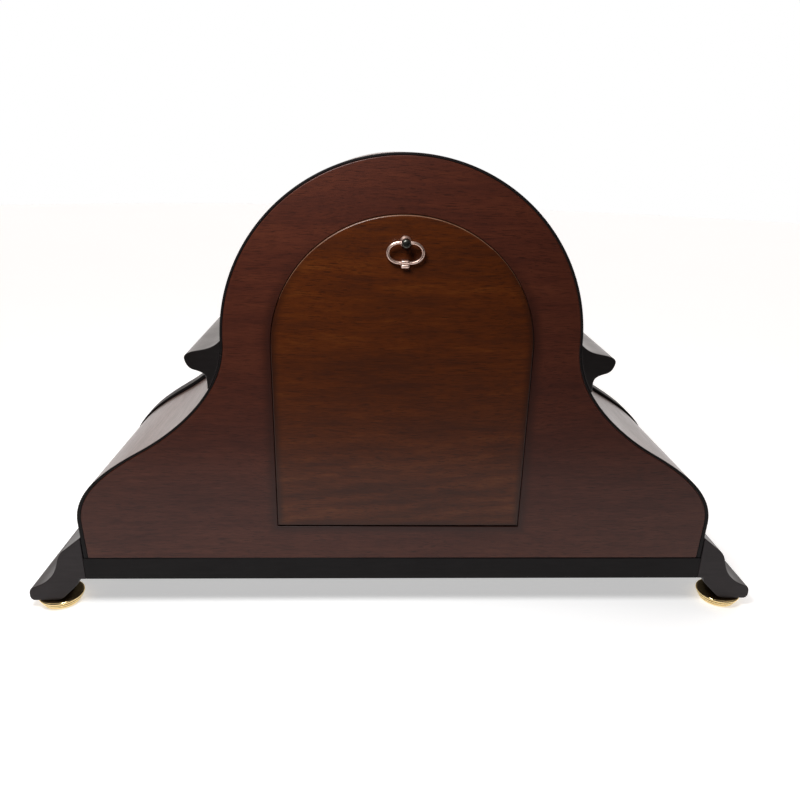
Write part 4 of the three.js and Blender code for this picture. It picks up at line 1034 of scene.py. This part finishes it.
def motion_wheel(teeth, module, phase, at, ys, bore, hub, rim):
    """A small brass wheel with four arms that turns on a post or pipe."""
    holes = [circle(bore, at)] + crossings(at, hub, rim, 4, arm_width=1.4)
    return prism(toothed(teeth, module, phase, at, WHEEL_TOOTH), *ys, holes, 0.12, 1)


def pinion(leaves, module, phase, at, ys):
    """A solid steel pinion."""
    return prism(toothed(leaves, module, phase, at, PINION_LEAF), *ys, bevel=0.15, steps=1)


def arbor(at, radius, y0, y1):
    """A steel arbor with shoulders and thinner polished pivots at its ends."""
    thin = radius * 0.7
    profile = [(0, y0), (thin, y0 + 0.15), (thin, y0 + 2.6), (radius, y0 + 3.0), (radius, y1 - 3.0),
               (thin, y1 - 2.6), (thin, y1 - 0.15), (0, y1)]
    return lathe(profile, at, "Y", 24)


def phases(start, end, end_teeth):
    """Turns of two wheels in mesh: a tooth of the first points into a space of the second."""
    a = math.atan2(end[1] - start[1], end[0] - start[0])
    return a, a + math.pi + math.pi / end_teeth


CENTRE = axis_of("minute_arbor")
TIME = axis_of("time_barrel")
INTERMEDIATE = axis_of("intermediate_wheel")
THIRD = axis_of("third_wheel")
ESCAPE = axis_of("escape_wheel")
MINUTE = axis_of("minute_wheel")
CHIME = axis_of("chime_barrel")
STRIKE = axis_of("strike_barrel")
PINS = axis_of("chime_pin_barrel")
GREAT = (40, 1.2)  # teeth and module
GREAT_WHEEL_Y = (-108.5, -106.5)
GREAT_PINION_Y = (-109.4, -105.8)
ARBOR_Y = (-113, -63)
LEAVES = 8


def build_barrels():
    """Spring barrels: toothed great wheel, polished drum with a snapped-in cover."""
    turn = {"time": phases(TIME, INTERMEDIATE, LEAVES)[0], "chime": phases(CHIME, PINS, 10)[0], "strike": 0}
    drum = rounded(
        [(3.5, -109), (6, -109), (6, -107.4), (20, -107.4), (20, -79.6), (19.2, -78.8), (17.6, -78.8),
         (17.2, -79.4), (16.6, -79.0), (8.4, -79.0), (8, -78.6), (6, -78.6), (6, -77.5), (3.5, -77.5)],
        0.35, 2,
    )
    for train, at in (("time", TIME), ("chime", CHIME), ("strike", STRIKE)):
        teeth = toothed(*GREAT, turn[train], at, WHEEL_TOOTH)
        great = prism(teeth, *GREAT_WHEEL_Y, [circle(5, at)], 0.12, 1)
        hook = block((at[0] + 11, at[0] + 14), (-79.2, -78.5), (at[1] - 1.5, at[1] + 1.5), 0.2)
        parts = [(lathe(drum, at, "Y", 96), WHEEL), (great, WHEEL), (hook, STEEL)]
        stand_in(f"{train}_barrel", "turned", f"{train}_barrel", parts)


def build_winding_arbors():
    """Arbors with a square for the key in front, and a ratchet wheel before the front plate."""
    shaft = [(0, -128.5), (2.7, -128.5), (3, -127.8), (3, -64.6), (2.2, -63.4), (2.2, -62.5), (0, -62.5)]
    teeth = 12
    for train in ("time", "chime", "strike"):
        body = f"{train}_winding_arbor"
        at = axis_of(body)
        square = block((at[0] - 2.5, at[0] + 2.5), (-148.6, -127), (at[1] - 2.5, at[1] + 2.5), 0.35, 3)
        ratchet = []
        for k in range(teeth):
            a = k * TAU / teeth
            for r, angle in ((9, a), (7.2, a + 0.05)):
                ratchet.append((at[0] + r * math.cos(angle), at[1] + r * math.sin(angle)))
        meshes = (lathe(shaft, at, "Y", 32), square, prism(ratchet, -115.4, -113.4, bevel=0.15, steps=1))
        stand_in(body, "squared", body, [(mesh, STEEL) for mesh in meshes])


def build_going_train():
    """Intermediate, centre, third and escape wheels, each with its pinion on its arbor."""
    to_leaf = phases(TIME, INTERMEDIATE, LEAVES)[1]
    drive, driven = phases(INTERMEDIATE, CENTRE, LEAVES)
    parts = [
        (arbor(INTERMEDIATE, 1.3, *ARBOR_Y), STEEL),
        (pinion(LEAVES, GREAT[1], to_leaf, INTERMEDIATE, GREAT_PINION_Y), STEEL),
        (wheel(40, 0.9, drive, INTERMEDIATE, (-75, -73.4)), WHEEL),
    ]
    stand_in("intermediate_wheel", "crossed", "intermediate_wheel", parts)

    third_drive, third_driven = phases(CENTRE, THIRD, LEAVES)
    cannon = phases(MINUTE, CENTRE, 12)[1]
    thread = [(0, -153.2), (1.2, -153), (1.5, -152.6), (1.5, -150), (2.5, -149.6), (2.5, -113.4),
              (1.5, -113), (1.5, -66), (1.1, -65.6), (1.1, -63), (0, -62.8)]
    parts = [
        (lathe(thread, CENTRE, "Y", 32), STEEL),
        (pinion(LEAVES, 0.9, driven, CENTRE, (-76, -72.4)), STEEL),
        (wheel(40, 0.9, third_drive, CENTRE, (-70.6, -69)), WHEEL),
        (pinion(12, 0.625, cannon, CENTRE, (-117, -113.6)), STEEL),
    ]
    stand_in("centre_wheel", "crossed", "minute_arbor", parts)

    escape_drive, escape_driven = phases(THIRD, ESCAPE, LEAVES)
    parts = [
        (arbor(THIRD, 1.3, *ARBOR_Y), STEEL),
        (pinion(LEAVES, 0.9, third_driven, THIRD, (-71.4, -68.2)), STEEL),
        (wheel(40, 0.7, escape_drive, THIRD, (-81, -79.6), 3.2), WHEEL),
    ]
    stand_in("third_wheel", "crossed", "third_wheel", parts)

    club = [(-1.2, -0.26), (0.6, -0.4), (0.6, -0.28), (-0.6, -0.05), (-1.2, 0.1)]
    parts = [
        (arbor(ESCAPE, 1, ARBOR_Y[0], -57.4), STEEL),
        (pinion(LEAVES, 0.7, escape_driven, ESCAPE, (-82, -78.6)), STEEL),
        (prism(toothed(15, 0.45, 0, ESCAPE, club), -59.3, -58.6, [circle(1.9, ESCAPE, 24)], 0.05, 1), WHEEL),
    ]
    for dx, dz in ((2.2, 0.4), (0.4, 2.2)):
        xs, zs = (ESCAPE[0] - dx, ESCAPE[0] + dx), (ESCAPE[1] - dz, ESCAPE[1] + dz)
        parts.append((block(xs, (-59.2, -58.7), zs, 0.05), WHEEL))
    stand_in("escape_wheel", "clubbed", "escape_wheel", parts)


def build_motion_work():
    """Minute wheel with its pinion on a stud, and the hour wheel on its pipe."""
    minute_turn = phases(MINUTE, CENTRE, 12)[0]
    hour_turn, small_turn = phases(CENTRE, MINUTE, 10)
    small = toothed(10, 0.6, small_turn, MINUTE, PINION_LEAF)
    pipe = [(1.85, -121.4), (2.4, -121.4), (2.4, -114.2), (1.85, -114.2)]
    parts = [
        (motion_wheel(36, 0.625, minute_turn, MINUTE, (-116.6, -114.2), 1.9, 3.6, 8.4), WHEEL),
        (prism(small, -121.4, -116.4, [circle(1.9, MINUTE)], 0.12, 1), STEEL),
        (lathe(pipe, MINUTE, "Y", 24), STEEL),
    ]
    stand_in("minute_wheel", "crossed", "minute_wheel", parts)
    parts = [
        (motion_wheel(40, 0.6, hour_turn, CENTRE, (-120.6, -118.8), 3.4, 5.4, 9.2), WHEEL),
        (collar(CENTRE, (2.95, 3.9), (-149.7, -118), 0.2, 2, segments=40), WHEEL),
    ]
    stand_in("hour_wheel", "crossed", "hour_pipe", parts)


# ------------------------------------------------------------ movement frame
PLATE_BOX = [extent("movement_back_plate", axis) for axis in "xz"]
PILLARS = [(x, z) for x in (PLATE_BOX[0][0] + 6, PLATE_BOX[0][1] - 6)
           for z in (PLATE_BOX[1][0] + 6, PLATE_BOX[1][1] - 6)]
HAMMERS = axis_of("chime_hammer_1")
SELECTOR = axis_of("chime_selector_lever")


def plate_outline():
    """The plates' rectangle with its corners cut."""
    (x0, x1), (z0, z1) = PLATE_BOX
    cut = 8
    return rounded([(x0 + cut, z0), (x1 - cut, z0), (x1, z0 + cut), (x1, z1 - cut), (x1 - cut, z1),
                    (x0 + cut, z1), (x0, z1 - cut), (x0, z0 + cut)], 3, 5)


def plate_holes():
    """Bores of both plates, a little wider than the arbors that turn in them."""
    out = [circle(3.4, at, 24) for at in (TIME, CHIME, STRIKE)]
    bores = ((1.6, INTERMEDIATE), (1.8, CENTRE), (1.6, THIRD), (1.3, ESCAPE), (1.9, PINS))
    return out + [circle(r, at, 16) for r, at in bores]


def build_plates():
    """Front plate with its pillars and studs, and back plate with blued screws and oil sinks."""
    parts = [(prism(plate_outline(), *FRONT_PLATE_Y, plate_holes(), 0.25, 2), PLATE)]
    pillar = rounded([(0, -110.2), (4.2, -110.2), (4.2, -108), (3, -106.5), (2.6, -88), (3, -69.5),
                      (4, -68), (4, -66.3), (0, -66.3)], 0.5, 3, closed=False)
    parts += [(lathe(pillar, at, "Y", 32), PLATE) for at in PILLARS]
    for at, end in ((MINUTE, -122.4), (SELECTOR, -119.6)):
        stud = [(0, end), (1.2, end), (1.5, end + 0.4), (1.5, -110.5), (0, -110.5)]
        parts.append((lathe(stud, at, "Y", 24), STEEL))
    stand_in("movement_front_plate", "brushed", "case", parts)

    holes = plate_holes() + [circle(1.8, HAMMERS, 16)]
    parts = [(prism(plate_outline(), *BACK_PLATE_Y, holes, 0.25, 2), PLATE)]
    for number, at in enumerate(PILLARS):
        parts += screw(at, BACK_PLATE_Y[1], 1, 4.2, BLUED, 20 + 47 * number)
    sink = [(1.9, -63.95), (3.2, -63.95), (3.2, -63.85), (2.6, -63.8), (1.9, -63.85)]
    parts += [(lathe(sink, at, "Y", 32), WHEEL) for at in (INTERMEDIATE, THIRD, CENTRE)]
    stand_in("movement_back_plate", "brushed", "case", parts)


def build_mounts():
    """Folded steel straps from the front plate to the back of the panel."""
    y = FRONT_PLATE_Y[0] - GAP
    wall = PANEL_REAR_Y + GAP
    thick = 2
    section = [(62, y), (62, y - thick), (80, y - thick), (80, wall), (104, wall), (104, wall + thick),
               (82, wall + thick), (82, y)]
    loop = rounded(section, 0.9, 3)
    for side, s in (("right", 1), ("left", -1)):
        node = f"movement_mount_{side}"
        bm = bmesh.new()
        z0, z1 = low(node, "z"), high(node, "z")
        rings = [[bm.verts.new(place(x * s, yy, z)) for x, yy in loop] for z in (z0, z1)]
        for ring in rings:
            bm.faces.new(ring)
        for k in range(len(loop)):
            n = (k + 1) % len(loop)
            bm.faces.new((rings[0][k], rings[0][n], rings[1][n], rings[1][k]))
        parts = [(close(bm, "strap"), STEEL)]
        for z in (z0 + 7, z1 - 7):
            parts += screw((s * 94, z), wall + thick, 1, 3.2, STEEL, 35)
        stand_in(node, "folded", "case", parts)


def build_selector():
    """Chime and silent lever: an arm on a stud, with a pin through the dial's slot."""
    x, z = SELECTOR
    end = (x + LEVER_LENGTH, z)
    arm = rounded([(x + 2.4, z - 2), (end[0], z - 1.5), (end[0] + 1.4, z), (end[0], z + 1.5),
                   (x + 2.4, z + 2)], 0.8, 4)
    knob = [(0, -151.8), (0.9, -151.6), (1.5, -150.9), (1.2, -150.1), (1.2, -117.6), (0, -117.6)]
    meshes = (collar(SELECTOR, (1.8, 3.4), (-119.4, -116.4), 0.25, 2),
              prism(arm, -118.6, -117.2), lathe(knob, end, "Y", 20))
    stand_in("chime_selector_lever", "filed", "chime_selector_lever",
             [(mesh, STEEL) for mesh in meshes])


# ------------------------------------------------------------ platform escapement
PALLETS = axis_of("pallet_lever")
BALANCE = axis_of("balance_wheel")
PLATFORM_Y = -60
COCK_Y = -49


def jewel(at, y):
    """A ruby ring on a plane that faces the rear."""
    ring = lathe([(1.15, y), (2.0, y), (1.9, y + 0.25), (1.15, y + 0.2)], at, "Y", 24)
    return ring, RUBY


def build_platform():
    """Platform on its three pillars, and the cock that holds the balance's rear pivot."""
    holes = [circle(r, at, 16) for r, at in ((1.3, ESCAPE), (0.9, PALLETS), (1.1, BALANCE))]
    outline = rectangle(PALLETS, (-14, 20), (-11, 11), 2.5, 6)
    parts = [(prism(outline, -61.6, PLATFORM_Y, holes, 0.2, 2), WHEEL)]
    for number, at in enumerate(shifted([(-11, 8), (17, 8), (17, -8)], PALLETS)):
        parts.append((spindle(at, 1.8, (-63.7, -61)), STEEL))
        parts += screw(at, PLATFORM_Y, 1, 1.7, BLUED, 30 + 50 * number)
    parts.append(jewel(ESCAPE, PLATFORM_Y))
    stand_in("escapement_platform", "jewelled", "case", parts)

    x, z = BALANCE
    arm = rounded(shifted([(-3, -1.6), (0, -3.4), (4, -2), (10, -2.6), (13.5, -2.6), (13.5, 2.6), (10, 2.6),
                           (4, 2), (0, 3.4), (-3, 1.6)], BALANCE), 1.2, 4)
    parts = [(prism(arm, -50.6, COCK_Y, [circle(1.1, BALANCE, 20)], 0.2, 2), WHEEL)]
    parts.append((block((x + 10, x + 13.5), (-59.7, -50.4), (z - 2.6, z + 2.6), 0.3), WHEEL))
    parts += screw((x + 11.8, z), COCK_Y, 1, 1.5, BLUED, 70)
    parts.append(jewel(BALANCE, COCK_Y))
    index = tube([(x - 1.9, -48.6, z + 1), (x - 6, -48.6, z + 3.2)], 0.3, sides=2)
    parts.append((index, STEEL))
    stand_in("balance_cock", "shaped", "case", parts)


def build_lever_and_balance():
    """Pallet lever with two ruby stones, and the balance with its timing screws and hairspring."""
    x, z = PALLETS
    fork = rounded(shifted([(-0.6, -3.2), (0.6, -3.2), (0.5, -0.5), (3.8, -0.6), (3.8, 0.6), (0.5, 0.5),
                            (0.6, 3.2), (-0.6, 3.2)], PALLETS), 0.35, 3)
    parts = [(prism(fork, -59.2, -58.6, bevel=0.1, steps=1), STEEL),
             (lathe([(0, -61.2), (0.6, -61.1), (0.6, -57.8), (0, -57.6)], PALLETS, "Y", 16), STEEL)]
    for side in (-1, 1):
        at = z + side * 3
        parts.append((block((x - 1.9, x + 0.5), (-59.15, -58.65), (at - 0.33, at + 0.33), 0.06, 1), RUBY))
    stand_in("pallet_lever", "jewelled", "pallet_lever", parts)

    x, z = BALANCE
    spokes = rectangle(BALANCE, (-7.9, 7.9), (-0.8, 0.8), 0.2, 2)
    staff = [(0, -61.4), (0.6, -61.2), (0.8, -60.4), (0.8, -57), (1.8, -56.8), (1.8, -54.2), (0.8, -54),
             (0.8, -50.6), (0.6, -49.5), (0, -49.4)]
    parts = [(collar(BALANCE, (7.5, 8.8), (-56.4, -54.8), 0.2, 2, segments=64), BRASS),
             (prism(spokes, -56, -55.2, bevel=0.15, steps=1), BRASS), (lathe(staff, BALANCE, "Y", 24), STEEL)]
    for k in range(12):
        a = math.radians(15 + 30 * k)
        spot = (x + 8.85 * math.cos(a), z + 8.85 * math.sin(a))
        parts.append((spindle(spot, 0.5, (-56.1, -55.1), segments=10), BRASS))
    turns, per_turn = 9, 24
    spiral = []
    for k in range(turns * per_turn):
        r, a = 1.9 + 4.2 * k / (turns * per_turn), TAU * k / per_turn
        spiral.append((x + r * math.cos(a), -53.4, z + r * math.sin(a)))
    parts.append((tube(spiral, 0.11, sides=1), BLUED))
    stand_in("balance_wheel", "sprung", "balance_wheel", parts)


# ------------------------------------------------------------ chime work
def build_pin_barrel():
    """Drum with four rows of pins, each row between two turned grooves."""
    turn = phases(CHIME, PINS, 10)[1]
    shaft = [(0, -113), (1.3, -112.8), (1.6, -112.4), (1.6, -17.4), (1.2, -17), (0, -17)]
    parts = [(lathe(shaft, PINS, "Y", 24), STEEL),
             (collar(PINS, (1.6, 8), (-60.5, -22.5), 0.3, 2, segments=64), WHEEL),
             (pinion(10, GREAT[1], turn, PINS, GREAT_PINION_Y), STEEL)]
    for row, y in enumerate(ROD_YS):
        for at in (y - 3.4, y + 3.4):
            ring = [(7.8, at - 0.3), (8, at - 0.3), (8.25, at), (8, at + 0.3), (7.8, at + 0.3)]
            parts.append((lathe(ring, PINS, "Y", 48), WHEEL))
        for k in range(4):
            a = math.radians(90 * k + 22.5 * row + 20)
            start, end = [(PINS[0] + r * math.cos(a), y, PINS[1] + r * math.sin(a)) for r in (7.5, 9.9)]
            parts.append((tube([start, end], 0.5, sides=2), STEEL))
    stand_in("chime_pin_barrel", "pinned", "chime_pin_barrel", parts)


def build_bridge():
    """Bridge behind the back plate that carries the pin barrel and the hammers' rod."""
    px, pz = PINS
    hx, hz = HAMMERS
    outline = rounded([(px - 12, pz - 6), (hx - 2, hz - 7), (hx + 20, hz - 7), (hx + 20, hz + 4),
                       (px + 8, pz + 12), (px - 12, pz + 12)], 4, 6)
    parts = [(prism(outline, -20, -18, [circle(2, PINS, 20)], 0.25, 2), PLATE)]
    post = rounded([(0, -63.7), (2.8, -63.7), (2.8, -62), (2.2, -61), (2.2, -20), (0, -20)], 0.3, 2,
                   closed=False)
    for number, at in enumerate(((px - 9, pz + 9), (hx + 16, hz - 3))):
        parts.append((lathe(post, at, "Y", 28), PLATE))
        parts += screw(at, -18, 1, 2.4, BLUED, 15 + 60 * number)
    rod = [(0, -65.5), (1.3, -65.4), (1.5, -65), (1.5, -17.4), (1.2, -17), (0, -17)]
    parts.append((lathe(rod, HAMMERS, "Y", 24), STEEL))
    stand_in("hammer_bracket", "brushed", "case", parts)


def tail_outline():
    """Outline of a hammer's tail, from its hub to just short of the barrel."""
    (hx, hz), (px, pz) = HAMMERS, PINS
    reach = math.hypot(px - hx, pz - hz)
    share = (reach - 10.9) / reach
    end = (hx + (px - hx) * share, hz + (pz - hz) * share)
    along = Vector((end[0] - hx, end[1] - hz)).normalized()
    across = Vector((-along.y, along.x)) * 1.1
    start = (hx + along.x * 3, hz + along.y * 3)
    corners = [(start[0] + across.x, start[1] + across.y), (end[0] + across.x, end[1] + across.y),
               (end[0] - across.x, end[1] - across.y), (start[0] - across.x, start[1] - across.y)]
    return rounded(corners, 0.7, 3)


def build_hammers():
    """Each hammer: a hub with a tail under the pins, a bent wire, a brass head and a leather tip."""
    hx, hz = HAMMERS
    for number, y in enumerate(ROD_YS, 1):
        body = f"chime_hammer_{number}"
        head = middle(body, "y")
        x, z0, z1 = high(body, "x") - 3.6, low(body, "z"), low(body, "z") + 12
        brass_head = rounded([(0, z0 + 3), (3.5, z0 + 3), (3.6, z0 + 4), (3.6, z1 - 1), (3, z1), (0, z1)],
                             0.4, 3, closed=False)
        tip = rounded([(0, z0), (2.2, z0), (2.7, z0 + 0.8), (2.9, z0 + 3.1), (0, z0 + 3.1)], 0.5, 3,
                      closed=False)
        wire = [(hx + 2.6, y, hz - 2.6), (hx + 10, y, hz - 10.5), (hx + 26, y, hz - 29), (x, head, z1 - 4)]
        parts = [(collar(HAMMERS, (1.85, 3.6), (y - 2.5, y + 2.5), 0.3, 2), WHEEL),
                 (tube(wire, 0.9, sides=3), STEEL),
                 (prism(tail_outline(), y - 0.9, y + 0.9), STEEL),
                 (lathe(brass_head, (x, head), "Z", 40), BRASS), (lathe(tip, (x, head), "Z", 32), LEATHER)]
        stand_in(body, "leathered", body, parts)


def build_rods():
    """Chime rods, thin where they leave their collars, and the painted block that holds them."""
    node = "chime_rod_block"
    xs, ys, zs = (extent(node, axis) for axis in "xyz")
    wall, top = xs[0], zs[1]
    for number, y in enumerate(ROD_YS, 1):
        rod = f"chime_rod_{number}"
        at = (y, middle(rod, "z"))
        end = low(rod, "x")
        profile = [(0, end), (1.35, end + 0.1), (1.5, end + 0.5), (1.5, wall - 12), (0.8, wall - 9.5),
                   (0.8, wall - 7), (1.5, wall - 5), (1.5, wall + 11.5), (0, wall + 11.5)]
        parts = [(lathe(profile, at, "X", 24), BRASS),
                 (collar(at, (1.55, 3.2), (wall - 3.2, wall - 0.1), 0.4, 3, "X", 28), BRASS)]
        stand_in(rod, "tapered", "case", parts)
    parts = [(block(xs, ys, zs, 1.6, 4), IRON)]
    bolt = [(0, top - 0.1), (3.8, top - 0.1), (3.8, top + 1.6), (3.2, top + 2.2), (0, top + 2.2)]
    for y in (ys[0] + 9, ys[1] - 9):
        parts.append((lathe(bolt, ((xs[0] + xs[1]) / 2, y), "Z", 6), STEEL))
    stand_in(node, "painted", "case", parts)


# ------------------------------------------------------------ stage, light and camera
FLOOR_RADIUS = 4
FLOOR_END = 0.26  # from the clock's back face to where the floor is cut off


def build_stage():
    """A pale, faintly glowing floor, cut off a short way behind the clock's back."""
    bm = bmesh.new()
    bmesh.ops.create_circle(bm, cap_ends=True, segments=96, radius=FLOOR_RADIUS)
    for v in bm.verts:
        v.co.y = min(v.co.y, BACK_Y + FLOOR_END)
    data = bpy.data.meshes.new("floor")
    bm.to_mesh(data)
    bm.free()
    floor = bpy.data.objects.new("floor", data)
    bpy.context.scene.collection.objects.link(floor)
    s = Shader("pale_floor", Specular_IOR_Level=0.15, Roughness=0.7, Emission_Color=(1, 1, 1, 1),
               Emission_Strength=0.5)
    s.to("Base Color", s.ramp(s.noise(s.coords, 3, 3), (0.3, 0.86), (0.7, 0.88)))
    data.materials.append(s.material)


def build_room_light():
    """White room. Its light on the clock is slightly warm, and bright only from the dial's side."""
    world = bpy.data.worlds.new("room")
    bpy.context.scene.world = world
    world.use_nodes = True
    s = Nodes(world.node_tree, "Background", "Generated")
    fade = s.node("MapRange", Value=s.axis(1), From_Min=-0.3, From_Max=0.2, To_Min=1.15, To_Max=0.03)
    seen = s.node("LightPath")
    s.to("Strength", s.node("Mix", _0=seen, _2=fade, _3=1.0))
    s.to("Color", s.mix(seen, (1, 0.93, 0.90), (1, 1, 1)))


def build_softbox():
    """A small soft lamp above and behind the clock, aimed at the drum."""
    data = bpy.data.lights.new("key_softbox", "AREA")
    data.size = 0.15
    data.energy = 2.5
    lamp = bpy.data.objects.new("key_softbox", data)
    lamp.location = (0.14, 0.3, 0.54)
    lamp.rotation_euler = (Vector((0, 0, 0.16)) - lamp.location).to_track_quat("-Z", "Y").to_euler()
    bpy.context.scene.collection.objects.link(lamp)


def build_camera():
    """Behind the clock and a little above it, looking down at the back door."""
    pitch, yaw, roll = (math.radians(v) for v in (19.82, 2.56, 1.37))
    ahead = Vector((-math.sin(yaw) * math.cos(pitch), -math.cos(yaw) * math.cos(pitch), -math.sin(pitch)))
    level = Vector((-math.cos(yaw), math.sin(yaw), 0))
    up = level.cross(ahead)
    right = math.cos(roll) * level + math.sin(roll) * up
    top = -math.sin(roll) * level + math.cos(roll) * up
    data = bpy.data.cameras.new("camera")
    data.sensor_width = 36
    data.lens = 31.05
    camera = bpy.data.objects.new("camera", data)
    turn = Matrix((right, top, -ahead)).transposed()
    camera.matrix_world = Matrix.Translation(place(20.5, 433.3, DRUM_Z + 118.3)) @ turn.to_4x4()
    bpy.context.scene.collection.objects.link(camera)
    bpy.context.scene.camera = camera


# ------------------------------------------------------------ the whole scene
bpy.context.scene.view_settings.view_transform = "Standard"
build_camera()
build_stage()
build_room_light()
build_softbox()
build_shell()
build_mouldings()
build_foot_buttons()
build_boards()
build_door()
build_pull()
build_catch()
build_dial()
build_bezel()
build_hands()
build_barrels()
build_winding_arbors()
build_going_train()
build_motion_work()
build_plates()
build_mounts()
build_selector()
build_platform()
build_lever_and_balance()
build_pin_barrel()
build_bridge()
build_hammers()
build_rods()
